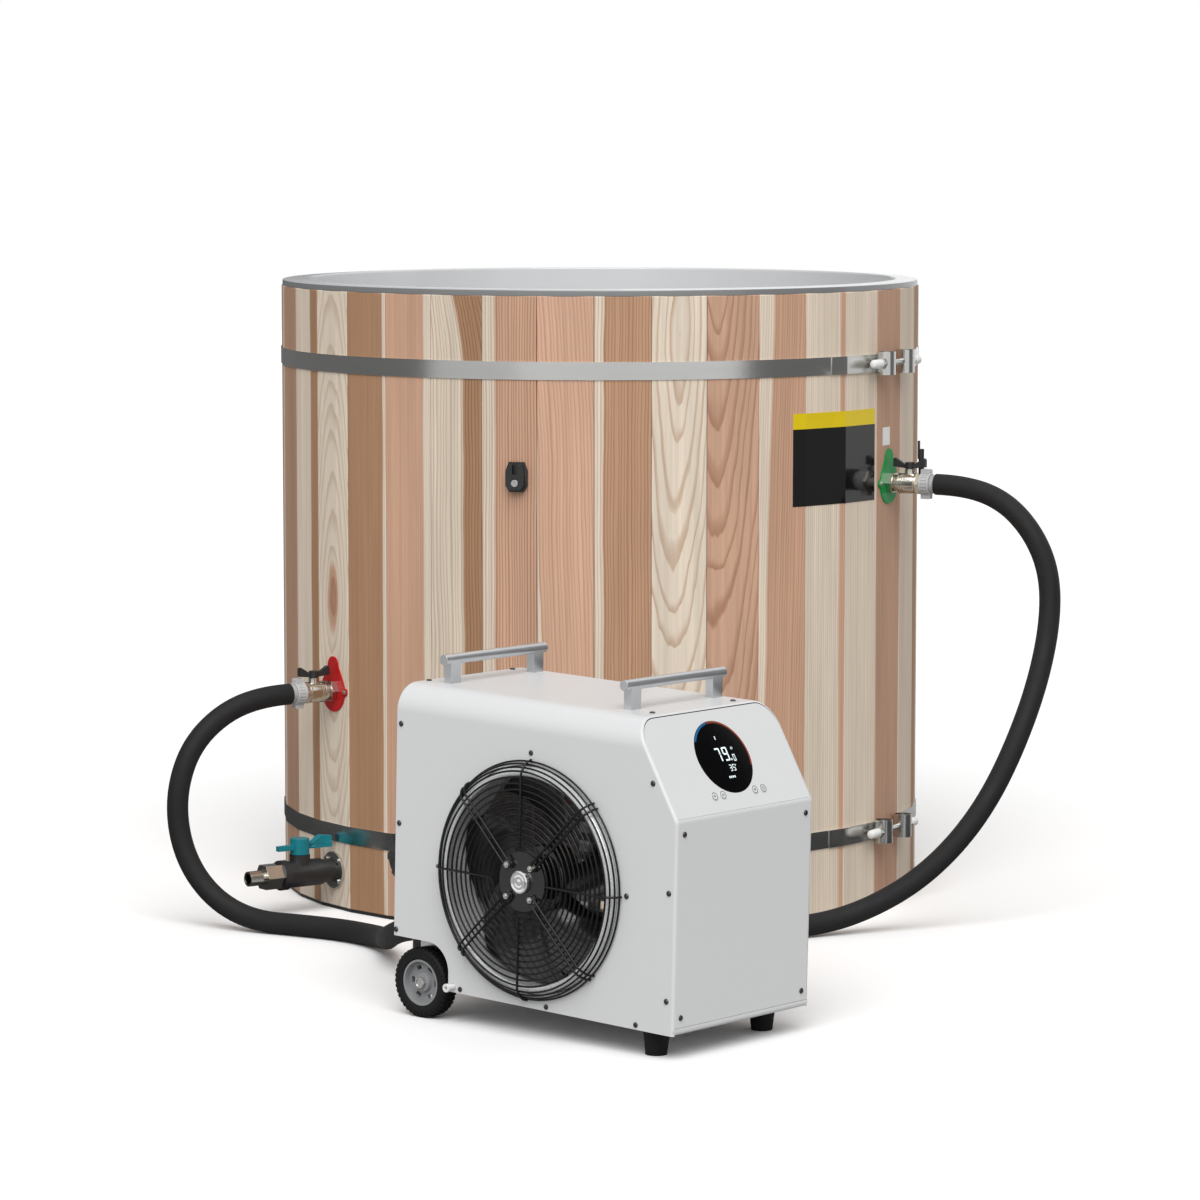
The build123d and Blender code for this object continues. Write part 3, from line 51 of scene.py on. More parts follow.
# Sizes shared with the part, in metres
STAVES = 37
HALF = 180 / STAVES
JOINT = -49.84
TUB_R = 0.525
FLAT = TUB_R * math.cos(math.radians(HALF))
STAVE_THICK = 0.034
STAVE_Z = (0.006, 0.9925)
LINER_R = 0.48881
RIM_R = 0.523
HOOPS = (0.8774, 0.125)
LUG_POLAR = 12.3
OUT_POLAR = JOINT + (2 * -6 + 1) * HALF
IN_POLAR = JOINT + (2 * 6 + 1) * HALF
OUT_Z, IN_Z, DRAIN_Z = 0.3541, 0.683, 0.064
AXLE = (0.59925, -0.93235)
CASE_REAR, CASE_FRONT = -0.046, 0.4736
CASE_SIDE = 0.146
CASE_LOW, CASE_TOP = 0.048, 0.4728
BEND = 0.038
SHEET = 0.0012
SLANT_X, SLANT_Z = 0.3924, 0.3409
FAN = (0.211, 0.227)
foot_at, foot_drop = 0.4182, 0.039
LEAN = math.asin(0.05 / math.hypot(foot_at, foot_drop)) - math.atan2(foot_drop, foot_at)
CASE = (
    Matrix.Translation((AXLE[0], AXLE[1], 0.05))
    @ Matrix.Rotation(LEAN, 4, "Y")
    @ Matrix.Translation((0, 0, -0.05))
)
FAN_M = CASE @ Matrix.Translation((FAN[0], -CASE_SIDE, FAN[1])) @ Matrix.Rotation(math.pi / 2, 4, "X")


def wall(polar, z, y=0.0):
    """Frame on the flat face of a stave: x outward, z up."""
    return Matrix.Rotation(math.radians(polar), 4, "Z") @ Matrix.Translation((FLAT, y, z))


def wall_r(polar):
    """Distance from the axis to the faceted wall in this direction."""
    turn = (polar - JOINT) % (2 * HALF) - HALF
    return FLAT / math.cos(math.radians(turn))


# Camera
cam = bpy.data.objects.new("camera", bpy.data.cameras.new("camera"))
scene.collection.objects.link(cam)
cam.data.sensor_width = 36
cam.data.lens = 139.476
cam.data.clip_end = 60
view_turn = math.radians(41.168)
view_drop = math.radians(6.0561)
cam.location = (7.687415 * math.sin(view_turn), -7.687415 * math.cos(view_turn), 1.282837)
look = Vector(
    (
        -math.sin(view_turn) * math.cos(view_drop),
        math.cos(view_turn) * math.cos(view_drop),
        -math.sin(view_drop),
    )
)
cam.rotation_euler = look.to_track_quat("-Z", "Y").to_euler()
scene.camera = cam


# Shader building


class Shader:
    """A node material; the helpers return output sockets."""

    def __init__(self, name):
        self.mat = bpy.data.materials.new(name)
        self.mat.use_nodes = True
        self.tree = self.mat.node_tree
        self.base = self.tree.nodes["Principled BSDF"]

    def node(self, kind, **props):
        made = self.tree.nodes.new("ShaderNode" + kind)
        for key, value in props.items():
            setattr(made, key, value)
        return made

    def plug(self, socket, value):
        if isinstance(value, bpy.types.NodeSocket):
            self.tree.links.new(value, socket)
        else:
            socket.default_value = value

    def set(self, **values):
        names = {
            "color": "Base Color",
            "rough": "Roughness",
            "metal": "Metallic",
            "coat": "Coat Weight",
            "coat_rough": "Coat Roughness",
            "ior": "IOR",
            "spec": "Specular IOR Level",
            "sheen": "Sheen Weight",
            "sheen_rough": "Sheen Roughness",
            "aniso": "Anisotropic",
            "normal": "Normal",
            "tangent": "Tangent",
            "emit": "Emission Color",
            "emit_power": "Emission Strength",
            "subsurface": "Subsurface Weight",
        }
        for key, value in values.items():
            if isinstance(value, tuple) and len(value) == 3:
                value = (*value, 1.0)
            self.plug(self.base.inputs[names[key]], value)

    def math(self, op, a, b=0.0, c=0.0, clamp=False):
        made = self.node("Math", operation=op, use_clamp=clamp)
        self.plug(made.inputs[0], a)
        self.plug(made.inputs[1], b)
        if op in ("MULTIPLY_ADD", "SMOOTH_MIN", "COMPARE"):
            self.plug(made.inputs[2], c)
        return made.outputs[0]

    def coords(self, kind="Object"):
        return self.node("TexCoord").outputs[kind]

    def attribute(self, name, output="Vector"):
        return self.node("Attribute", attribute_name=name).outputs[output]

    def split(self, vector):
        made = self.node("SeparateXYZ")
        self.plug(made.inputs[0], vector)
        return made.outputs

    def join(self, x, y, z):
        made = self.node("CombineXYZ")
        for socket, value in zip(made.inputs, (x, y, z)):
            self.plug(socket, value)
        return made.outputs[0]

    def scale(self, vector, size):
        made = self.node("VectorMath", operation="MULTIPLY")
        self.plug(made.inputs[0], vector)
        self.plug(made.inputs[1], size)
        return made.outputs[0]

    def noise(self, vector, scale, detail=3.0, rough=0.5, distortion=0.0):
        made = self.node("TexNoise")
        self.plug(made.inputs["Vector"], vector)
        self.plug(made.inputs["Scale"], scale)
        self.plug(made.inputs["Detail"], detail)
        self.plug(made.inputs["Roughness"], rough)
        self.plug(made.inputs["Distortion"], distortion)
        return made.outputs[0]

    def span(self, value, low, high, to_low=0.0, to_high=1.0, smooth=False):
        made = self.node("MapRange")
        if smooth:
            made.interpolation_type = "SMOOTHSTEP"
        for socket, number in zip(made.inputs, (value, low, high, to_low, to_high)):
            self.plug(socket, number)
        return made.outputs[0]

    def mix(self, share, a, b, blend="MIX"):
        made = self.node("Mix", data_type="RGBA", blend_type=blend)
        self.plug(made.inputs[0], share)
        for socket, value in ((made.inputs[6], a), (made.inputs[7], b)):
            self.plug(socket, (*value, 1.0) if isinstance(value, tuple) and len(value) == 3 else value)
        return made.outputs[2]

    def bump(self, height, strength=0.3, distance=0.001):
        made = self.node("Bump")
        self.plug(made.inputs["Strength"], strength)
        self.plug(made.inputs["Distance"], distance)
        self.plug(made.inputs["Height"], height)
        return made.outputs[0]


def plain(name, color, rough=0.5, metal=0.0, grain=900.0, lift=0.12, vary=0.06, **extra):
    """Moulded or painted surface: slight mottling, fine texture in the gloss."""
    s = Shader(name)
    spot = s.coords()
    wide = s.noise(spot, 18.0, 3.0)
    fine = s.noise(spot, grain, 2.0)
    low = tuple(c * (1 - vary) for c in color)
    high = tuple(min(1.0, c * (1 + vary)) for c in color)
    s.set(color=s.mix(wide, low, high), metal=metal)
    s.set(rough=s.span(s.math("ADD", wide, fine), 0.6, 1.4, rough * 0.82, min(1.0, rough * 1.18)))
    s.set(normal=s.bump(fine, lift, 0.0002), **extra)
    return s.mat


# Mesh building


def mesh_object(name, verts, faces, mat=None, matrix=None, angle=35.0):
    mesh = bpy.data.meshes.new(name)
    mesh.from_pydata([tuple(v) for v in verts], [], faces)
    if matrix is not None:
        mesh.transform(matrix)
    obj = bpy.data.objects.new(name, mesh)
    scene.collection.objects.link(obj)
    tidy(obj)
    finish_mesh(obj, angle)
    if mat:
        mesh.materials.append(mat)
    return obj


def tidy(obj, merge=1e-6):
    work = bmesh.new()
    work.from_mesh(obj.data)
    bmesh.ops.remove_doubles(work, verts=work.verts, dist=merge)
    bmesh.ops.recalc_face_normals(work, faces=work.faces)
    work.to_mesh(obj.data)
    work.free()


def finish_mesh(obj, angle=35.0):
    obj.data.shade_smooth()
    obj.data.set_sharp_from_angle(angle=math.radians(angle))


def settle(obj):
    """Applies the object's modifiers to its mesh."""
    bpy.context.view_layer.update()
    graph = bpy.context.evaluated_depsgraph_get()
    mesh = bpy.data.meshes.new_from_object(obj.evaluated_get(graph))
    obj.modifiers.clear()
    obj.data = mesh
    return obj


def bevel(obj, width, segments=2, angle=40.0):
    mod = obj.modifiers.new("bevel", "BEVEL")
    mod.width = width
    mod.segments = segments
    mod.limit_method = "ANGLE"
    mod.angle_limit = math.radians(angle)
    mod.harden_normals = True
    return settle(obj)


def cut(obj, *cutters, op="DIFFERENCE", keep=False):
    for cutter in cutters:
        mod = obj.modifiers.new("cut", "BOOLEAN")
        mod.operation = op
        mod.solver = "EXACT"
        mod.object = cutter
    settle(obj)
    if not keep:
        for cutter in cutters:
            bpy.data.objects.remove(cutter)
    return obj


def lathe(name, profile, mat=None, matrix=None, sides=64, angle=35.0, closed=False):
    """Surface of revolution about Z from (radius, level) points; points on the axis close it."""
    verts, faces, rings = [], [], []
    for r, z in profile:
        if r < 1e-9:
            rings.append([len(verts)] * sides)
            verts.append((0, 0, z))
        else:
            rings.append([len(verts) + i for i in range(sides)])
            verts += [(r * math.cos(TAU * i / sides), r * math.sin(TAU * i / sides), z) for i in range(sides)]
    pairs = list(zip(rings, rings[1:]))
    if closed:
        pairs.append((rings[-1], rings[0]))
    for low, high in pairs:
        for i in range(sides):
            k = (i + 1) % sides
            face = []
            for v in (low[i], low[k], high[k], high[i]):
                if v not in face:
                    face.append(v)
            if len(face) > 2:
                faces.append(face)
    return mesh_object(name, verts, faces, mat, matrix, angle)


def slab(name, outline, z0, z1, mat=None, matrix=None, angle=35.0):
    """Flat outline (x, y) made solid from z0 to z1."""
    n = len(outline)
    verts = [(x, y, z0) for x, y in outline] + [(x, y, z1) for x, y in outline]
    faces = [list(range(n))[::-1], [n + i for i in range(n)]]
    faces += [[i, (i + 1) % n, n + (i + 1) % n, n + i] for i in range(n)]
    return mesh_object(name, verts, faces, mat, matrix, angle)


def brick(name, x0, x1, y0, y1, z0, z1, mat=None, matrix=None):
    return slab(name, [(x0, y0), (x1, y0), (x1, y1), (x0, y1)], z0, z1, mat, matrix)


def circle(radius, sides, x=0.0, y=0.0):
    return [(x + radius * math.cos(TAU * i / sides), y + radius * math.sin(TAU * i / sides)) for i in range(sides)]


def wires(name, routes, radius, mat, matrix=None, sides=8):
    """Round wires swept along lists of points; a route is (points, is it a loop)."""
    verts, faces = [], []
    for points, loop in routes:
        points = [Vector(p) for p in points]
        count = len(points)
        rings = []
        for i, point in enumerate(points):
            after = points[(i + 1) % count] if loop or i < count - 1 else point
            before = points[i - 1] if loop or i > 0 else point
            ahead = (after - before).normalized()
            side = ahead.cross(Vector((0, 0, 1)))
            if side.length < 1e-3:
                side = ahead.cross(Vector((1, 0, 0)))
            side.normalize()
            up = side.cross(ahead)
            rings.append(len(verts))
            for k in range(sides):
                a = TAU * k / sides
                verts.append(point + radius * (math.cos(a) * side + math.sin(a) * up))
        spans = range(count if loop else count - 1)
        for i in spans:
            a, b = rings[i], rings[(i + 1) % count]
            faces += [[a + k, a + (k + 1) % sides, b + (k + 1) % sides, b + k] for k in range(sides)]
        if not loop:
            faces.append([rings[0] + k for k in range(sides)][::-1])
            faces.append([rings[-1] + k for k in range(sides)])
    return mesh_object(name, verts, faces, mat, matrix, 60)


def joined(name, objs):
    """One object from several, keeping their materials."""
    work = bmesh.new()
    mats = []
    for obj in objs:
        start = len(work.faces)
        work.from_mesh(obj.data)
        work.faces.ensure_lookup_table()
        local = [m for m in obj.data.materials]
        for face in list(work.faces)[start:]:
            mat = local[face.material_index] if local else None
            if mat not in mats:
                mats.append(mat)
            face.material_index = mats.index(mat)
    mesh = bpy.data.meshes.new(name)
    work.to_mesh(mesh)
    work.free()
    for mat in mats:
        mesh.materials.append(mat)
    for obj in objs:
        bpy.data.objects.remove(obj)
    made = bpy.data.objects.new(name, mesh)
    scene.collection.objects.link(made)
    return made


def dress(node, mat, width=0.0003, angle=35.0, segments=2):
    """A finer copy of a CAD node: merged, smooth, with small rounded edges."""
    source = frame["nodes"][node]
    obj = bpy.data.objects.new(node + "_fine", source.data.copy())
    scene.collection.objects.link(obj)
    tidy(obj, 1e-5)
    work = bmesh.new()
    work.from_mesh(obj.data)
    bmesh.ops.dissolve_limit(work, angle_limit=math.radians(1.0), verts=work.verts, edges=work.edges)
    work.to_mesh(obj.data)
    work.free()
    finish_mesh(obj, angle)
    if width:
        bevel(obj, width, segments, angle)
    obj.data.materials.clear()
    obj.data.materials.append(mat)
    for face in obj.data.polygons:
        face.material_index = 0
    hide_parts(node)
    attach(obj, body_of(node))
    return obj


def body_of(node):
    for body, members in frame["record"]["behaviour"]["bodies"].items():
        if node in members:
            return body
    return ROOT


def paint(node, mat):
    data = frame["nodes"][node].data
    data.materials.clear()
    data.materials.append(mat)


# Cords, at the places of the part's routes


def spoke(polar, radius, level):
    a = math.radians(polar)
    return Vector((radius * math.cos(a), radius * math.sin(a), level))


HOSE_R = 0.017


def cord_curve(name, points, mat):
    curve = bpy.data.curves.new(name, "CURVE")
    curve.dimensions = "3D"
    curve.bevel_depth = HOSE_R
    curve.bevel_resolution = 8
    curve.resolution_u = 10
    curve.use_fill_caps = True
    line = curve.splines.new("NURBS")
    line.points.add(len(points) - 1)
    for spot, point in zip(line.points, points):
        spot.co = (*point, 1.0)
    line.order_u = 3
    line.use_endpoint_u = True
    curve.materials.append(mat)
    obj = bpy.data.objects.new(name, curve)
    scene.collection.objects.link(obj)
    return obj


def foam_material():
    s = Shader("foam_sleeve")
    spot = s.coords()
    cell = s.node("TexVoronoi", feature="F1")
    s.plug(cell.inputs["Vector"], spot)
    s.plug(cell.inputs["Scale"], 900.0)
    broad = s.noise(spot, 14.0, 4.0, 0.6)
    s.set(color=s.mix(broad, (0.006, 0.006, 0.007), (0.017, 0.017, 0.018)), rough=s.span(broad, 0.3, 0.7, 0.62, 0.8))
    height = s.math("ADD", s.math("MULTIPLY", cell.outputs[0], 0.5), s.noise(spot, 160.0, 3.0))
    s.set(normal=s.bump(height, 0.35, 0.0006), sheen=0.03, spec=0.3)
    return s.mat


FOAM = foam_material()
port = CASE @ Vector((CASE_REAR - 0.058, 0.044, 0.082))
port_ahead = (CASE.to_3x3() @ Vector((-1, 0, 0))).normalized()
out_start = wall(OUT_POLAR, OUT_Z) @ Vector((0.084, 0, 0))
out_ahead = (wall(OUT_POLAR, 0).to_3x3() @ Vector((1, 0, 0))).normalized()
OUT_POINTS = [
    out_start,
    out_start + out_ahead * 0.05,
    spoke(-103.7, 0.726, 0.333),
    spoke(-104.2, 0.780, 0.285),
    spoke(-104.2, 0.807, 0.219),
    spoke(-104.2, 0.806, 0.149),
    (-0.174, -0.774, 0.088),
    (-0.129, -0.761, 0.042),
    (-0.068, -0.743, 0.0175),
    (0.012, -0.722, 0.0175),
    (0.088, -0.708, 0.0175),
    (0.156, -0.714, 0.018),
    (0.216, -0.742, 0.023),
    (0.266, -0.790, 0.036),
    (0.318, -0.836, 0.054),
    (0.376, -0.870, 0.073),
    port + port_ahead * 0.05,
    port,
]
elbow = CASE @ Vector((CASE_REAR - 0.034, 0.088 + 0.046, 0.082))
elbow_ahead = (CASE.to_3x3() @ Vector((0, 1, 0))).normalized()
in_start = wall(IN_POLAR, IN_Z) @ Vector((0.084, 0, 0))
in_ahead = (wall(IN_POLAR, 0).to_3x3() @ Vector((1, 0, 0))).normalized()
IN_POINTS = [
    in_start,
    in_start + in_ahead * 0.05,
    spoke(IN_POLAR, 0.724, 0.662),
    spoke(IN_POLAR, 0.774, 0.614),
    spoke(IN_POLAR, 0.803, 0.551),
    (0.788, 0.180, 0.474),
    (0.793, 0.142, 0.382),
    (0.788, 0.093, 0.290),
    (0.772, 0.046, 0.206),
    (0.746, -0.002, 0.138),
    (0.710, -0.055, 0.082),
    (0.666, -0.112, 0.042),
    (0.624, -0.178, 0.019),
    (0.590, -0.262, 0.0175),
    (0.566, -0.352, 0.0175),
    (0.548, -0.448, 0.020),
    (0.534, -0.545, 0.036),
    (0.524, -0.645, 0.064),
    elbow + elbow_ahead * 0.062,
    elbow,
]
outlet_cord = cord_curve("outlet_cord", OUT_POINTS, FOAM)
inlet_cord = cord_curve("inlet_cord", IN_POINTS, FOAM)
for piece, node, start, length in (
    (outlet_cord, "outlet_hose", out_start, 1.157),
    (inlet_cord, "inlet_hose", in_start, 1.609),
):
    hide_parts(node)
    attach(piece, ROOT)


# Barrel


def wood_material():
    """Sawn softwood: rings of a log cut by the board, sapwood outside the heart.

    Each stave carries the place of its log's middle and the height where the
    log is nearest (wood_log), its taper, lean and sway (wood_bend), heart
    radius and ring width (wood_ring), and shade (wood_tone)."""
    s = Shader("stave_wood")
    u, r, z = s.split(s.attribute("wood_place"))
    mid_u, mid_r, mid_z = s.split(s.attribute("wood_log"))
    slope, lean, sway = s.split(s.attribute("wood_bend"))
    heart_r, ring, seed = s.split(s.attribute("wood_ring"))
    warm, light, depth = s.split(s.attribute("wood_tone"))
    knot_u, knot_z, knot_r = s.split(s.attribute("wood_knot"))
    along = s.math("MULTIPLY_ADD", seed, 7.31, z)
    drift = s.noise(s.join(s.math("MULTIPLY", along, 2.3), seed, 0.0), 1.0, 2.0, 0.45)
    ripple = s.noise(s.join(s.math("MULTIPLY", u, 26.0), s.math("MULTIPLY", along, 5.0), seed), 1.0, 3.0, 0.5)
    from_z = s.math("SUBTRACT", z, mid_z)
    taper = s.math("SUBTRACT", s.math("SQRT", s.math("MULTIPLY_ADD", from_z, from_z, 0.0009)), 0.03)
    off_r = s.math("MULTIPLY_ADD", slope, taper, s.math("SUBTRACT", r, mid_r))
    off_u = s.math("SUBTRACT", s.math("SUBTRACT", u, mid_u), s.math("MULTIPLY", lean, from_z))
    off_u = s.math("MULTIPLY_ADD", sway, s.math("MULTIPLY_ADD", drift, 2.0, -1.0), off_u)
    to_u = s.math("SUBTRACT", u, knot_u)
    to_z = s.math("MULTIPLY", s.math("SUBTRACT", z, knot_z), 0.62)
    to_knot = s.math("SQRT", s.math("MULTIPLY_ADD", to_u, to_u, s.math("MULTIPLY", to_z, to_z)))
    near = s.math("DIVIDE", to_knot, s.math("MAXIMUM", knot_r, 0.0001))
    swirl = s.span(near, 0.6, 4.0, 1.0, 0.0, smooth=True)
    off_u = s.math("MULTIPLY_ADD", s.math("MULTIPLY", swirl, knot_r), 0.9, off_u)
    reach = s.math("SQRT", s.math("MULTIPLY_ADD", off_u, off_u, s.math("MULTIPLY", off_r, off_r)))
    reach = s.math("MULTIPLY_ADD", s.math("SUBTRACT", ripple, 0.5), s.math("MULTIPLY", ring, 1.3), reach)
    uneven = s.noise(s.join(s.math("MULTIPLY", reach, 90.0), seed, 1.0), 1.0, 2.0, 0.6)
    part = s.math("FRACT", s.math("MULTIPLY_ADD", uneven, 1.7, s.math("DIVIDE", reach, ring)))
    late = s.math("MULTIPLY", s.span(part, 0.45, 0.93, smooth=True), s.span(part, 0.93, 1.0, 1.0, 0.0, smooth=True))
    fibre = s.noise(
        s.join(s.math("MULTIPLY", u, 1500.0), s.math("MULTIPLY", r, 600.0), s.math("MULTIPLY", along, 9.0)),
        1.0,
        3.0,
        0.6,
    )
    streak = s.noise(
        s.join(s.math("MULTIPLY", u, 150.0), s.math("MULTIPLY", r, 60.0), s.math("MULTIPLY", along, 1.5)),
        1.0,
        3.0,
        0.5,
    )
    sap = s.span(s.math("SUBTRACT", reach, heart_r), -0.0012, 0.0016, smooth=True)
    heart_light = s.mix(warm, WOOD_TAN, WOOD_PINK)
    heart_dark = s.mix(warm, WOOD_TAN_LINE, WOOD_PINK_LINE)
    lines = s.math("MULTIPLY", s.math("MULTIPLY", late, depth), s.span(streak, 0.3, 0.7, 0.6, 1.0))
    heart = s.mix(lines, heart_light, heart_dark)
    outer = s.mix(s.math("MULTIPLY", lines, s.span(ripple, 0.3, 0.7, 0.75, 1.0)), WOOD_SAP, WOOD_SAP_LINE)
    tint = s.mix(sap, heart, outer)
    knot = s.span(near, 0.75, 1.1, 1.0, 0.0, smooth=True)
    ringed = s.math("FRACT", s.math("MULTIPLY", near, 3.4))
    tint = s.mix(knot, tint, s.mix(s.span(ringed, 0.2, 0.9), (0.33, 0.15, 0.08), (0.17, 0.07, 0.04)))
    cloud = s.noise(s.join(s.math("MULTIPLY", u, 30.0), seed, s.math("MULTIPLY", along, 2.5)), 1.0, 3.0, 0.55)
    shade = s.math("MULTIPLY", light, s.span(fibre, 0.25, 0.75, 0.90, 1.07))
    shade = s.math("MULTIPLY", shade, s.span(streak, 0.25, 0.75, 0.88, 1.10))
    shade = s.math("MULTIPLY", shade, s.span(cloud, 0.25, 0.75, 0.90, 1.09))
    color = s.mix(1.0, tint, s.join(shade, shade, shade), "MULTIPLY")
    s.set(color=color, rough=s.span(late, 0.0, 1.0, 0.64, 0.52), spec=0.25)
    height = s.math("ADD", s.math("MULTIPLY", late, 0.35), s.math("MULTIPLY", fibre, 0.6))
    s.set(normal=s.bump(height, 0.3, 0.0003))
    return s.mat


WOOD_SAP, WOOD_SAP_LINE = (0.78, 0.67, 0.545), (0.43, 0.26, 0.15)
WOOD_TAN, WOOD_TAN_LINE = (0.42, 0.235, 0.125), (0.20, 0.085, 0.035)
WOOD_PINK, WOOD_PINK_LINE = (0.68, 0.42, 0.295), (0.34, 0.145, 0.075)
WOOD = wood_material()


def side_cut(mid, edge, ring, warm, light, depth, lean=0.0, sway=0.004, knot=None):
    """A board cut beside the log's middle; the heartwood ends at edge."""
    heart = math.hypot(mid - edge, 0.02)
    return ((mid, -0.02, 0.5), (0.004, lean, sway), (heart, ring), (warm, light, depth), knot or (0, 0, 0))


def arch_cut(mid, deep, level, slope, heart, ring, warm, light, depth, lean=0.0, sway=0.004, knot=None):
    """A board cut across the log near its middle, so that the rings make arches."""
    return ((mid, deep, level), (slope, lean, sway), (heart, ring), (warm, light, depth), knot or (0, 0, 0))


# Staves counted from the joint at JOINT
LOOKS = {
    # Stave -8, near the left silhouette of the wall, has its lightness lowered to 0.84: painted shade of the wall's
    # edge.
    -8: side_cut(0.20, -0.10, 0.0045, 0.7, 0.84, 0.5),
    -7: side_cut(0.20, 0.018, 0.0050, 0.1, 0.97, 0.4),
    -6: arch_cut(-0.002, -0.030, 0.50, 0.11, 0.0335, 0.0060, 0.55, 0.99, 0.55),
    -5: side_cut(-0.20, 0.037, 0.0030, 0.15, 0.98, 0.45),
    -4: side_cut(-0.20, 0.030, 0.0034, 0.8, 0.98, 0.3),
    -3: side_cut(0.20, 0.012, 0.0060, 0.1, 0.9, 0.75, sway=0.010, knot=(0.02, 1.10, 0.035)),
    -2: side_cut(0.21, -0.0223, 0.0045, 0.85, 0.95, 0.95),
    -1: side_cut(0.15, -0.042, 0.0055, 1.0, 1.0, 0.5, lean=-0.03, sway=0.012),
    0: side_cut(0.20, -0.0294, 0.0052, 0.4, 1.0, 0.8),
    1: arch_cut(0.0, -0.010, 0.935, 0.11, 0.0, 0.0090, 0.2, 1.0, 0.8, lean=0.023),
    2: arch_cut(-0.027, -0.020, 1.10, 0.10, 0.4, 0.0080, 0.9, 0.93, 0.7, knot=(-0.036, 0.30, 0.006)),
    3: side_cut(0.20, -0.028, 0.0050, 0.75, 0.98, 0.5, lean=0.025),
    4: side_cut(0.25, 0.033, 0.0045, 0.9, 1.0, 0.5),
    5: side_cut(0.25, 0.10, 0.0045, 0.3, 1.0, 0.5),
    6: side_cut(0.20, -0.10, 0.0045, 0.9, 0.84, 0.5),
    7: side_cut(0.20, 0.10, 0.0050, 0.3, 0.96, 0.8),
}


def stave_looks(number):
    if number in LOOKS:
        return LOOKS[number]
    pick = random.Random(100 + number)
    kind = pick.random()
    side = pick.choice((-1, 1))
    lean = pick.uniform(-0.02, 0.02)
    if kind < 0.5:
        edge = side * pick.uniform(-0.06, 0.04)
        ring = pick.uniform(0.0032, 0.0055)
        return side_cut(side * 0.2, edge, ring, pick.random(), pick.uniform(0.88, 1.0), pick.uniform(0.35, 0.9), lean)
    heart = pick.choice((0.0, 0.0, 0.034, 0.4))
    knot = (pick.uniform(-0.03, 0.03), pick.uniform(0.15, 0.85), pick.uniform(0.004, 0.008)) if kind > 0.8 else None
    return arch_cut(
        pick.uniform(-0.02, 0.02),
        -0.02,
        pick.uniform(0.0, 1.1),
        0.11,
        heart,
        pick.uniform(0.006, 0.009),
        pick.random(),
        pick.uniform(0.92, 1.0),
        0.65,
        lean,
        knot=knot,
    )


def make_staves():
    half = FLAT * math.tan(math.radians(HALF)) - 0.00025
    inner = FLAT - STAVE_THICK
    half_in = inner * math.tan(math.radians(HALF)) - 0.00005
    c = 0.0011
    section = [
        (FLAT, -half + c),
        (FLAT, half - c),
        (FLAT - c * 0.5, half - c * 0.35),
        (FLAT - c * 1.7, half - 0.0001),
        (inner, half_in),
        (inner, -half_in),
        (FLAT - c * 1.7, -half + 0.0001),
        (FLAT - c * 0.5, -half + c * 0.35),
    ]
    n = len(section)
    low, high = STAVE_Z
    levels = [(low, 0.0008), (low + 0.0008, 0.0), (high - 0.0012, 0.0), (high, 0.0012)]
    verts, faces = [], []
    data = {name: [] for name in ("wood_place", "wood_log", "wood_bend", "wood_ring", "wood_tone", "wood_knot")}
    for index in range(STAVES):
        number = index if index <= 18 else index - STAVES
        a = math.radians(JOINT + HALF + index * 2 * HALF)
        log, bend, rings, tone, knot = stave_looks(number)
        start = len(verts)
        for z, back in levels:
            for x, y in section:
                x = min(x, FLAT - back) if x > FLAT - 0.01 else x
                verts.append((x * math.cos(a) - y * math.sin(a), x * math.sin(a) + y * math.cos(a), z))
                row = ((y, x - FLAT, z), log, bend, (*rings, (index * 0.61803) % 1.0 * 10), tone, knot)
                for values, value in zip(data.values(), row):
                    values.extend(value)
        faces.append([start + i for i in range(n)][::-1])
        top = start + n * (len(levels) - 1)
        faces.append([top + i for i in range(n)])
        for level in range(len(levels) - 1):
            base = start + level * n
            for i in range(n):
                k = (i + 1) % n
                faces.append([base + i, base + k, base + n + k, base + n + i])
    mesh = bpy.data.meshes.new("stave_wall")
    mesh.from_pydata(verts, [], faces)
    for name, values in data.items():
        mesh.attributes.new(name, "FLOAT_VECTOR", "POINT").data.foreach_set("vector", values)
    obj = bpy.data.objects.new("stave_wall", mesh)
    scene.collection.objects.link(obj)
    finish_mesh(obj, 30)
    mesh.materials.append(WOOD)
    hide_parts("staves")
    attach(obj, ROOT)


make_staves()


def wall_sheet(name, start, end, low, high, lift, mat):
    """A thin plate that follows the flats of the wall."""
    edges = [start]
    joint = JOINT + math.ceil((start - JOINT) / (2 * HALF)) * 2 * HALF
    while joint < end:
        edges.append(joint)
        joint += 2 * HALF
    edges.append(end)
    verts, faces = [], []
    for polar in edges:
        a = math.radians(polar)
        for push in (0.00005, lift):
            for z in (low, high):
                r = wall_r(polar) + push
                verts.append((r * math.cos(a), r * math.sin(a), z))
    for k in range(len(edges) - 1):
        a, b = 4 * k, 4 * (k + 1)
        for i, j in ((0, 1), (1, 3), (3, 2), (2, 0)):
            faces.append([a + i, a + j, b + j, b + i])
    faces += [[0, 1, 3, 2], [len(verts) - 4 + i for i in (2, 3, 1, 0)]]
    return mesh_object(name, verts, faces, mat, None, 3)


def make_plates():
    lower = wall_sheet("plate_black", -13.6, 7.7, 0.659, 0.7802, 0.0006, PLATE_BLACK)
    upper = wall_sheet("plate_yellow", -13.6, 7.7, 0.7804, 0.805, 0.0006, PLATE_YELLOW)
    small = wall_sheet("plate_white", 10.9, 13.8, 0.7435, 0.7725, 0.0005, WHITE_PLASTIC)
    for piece in (lower, upper, small):
        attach(piece, ROOT)


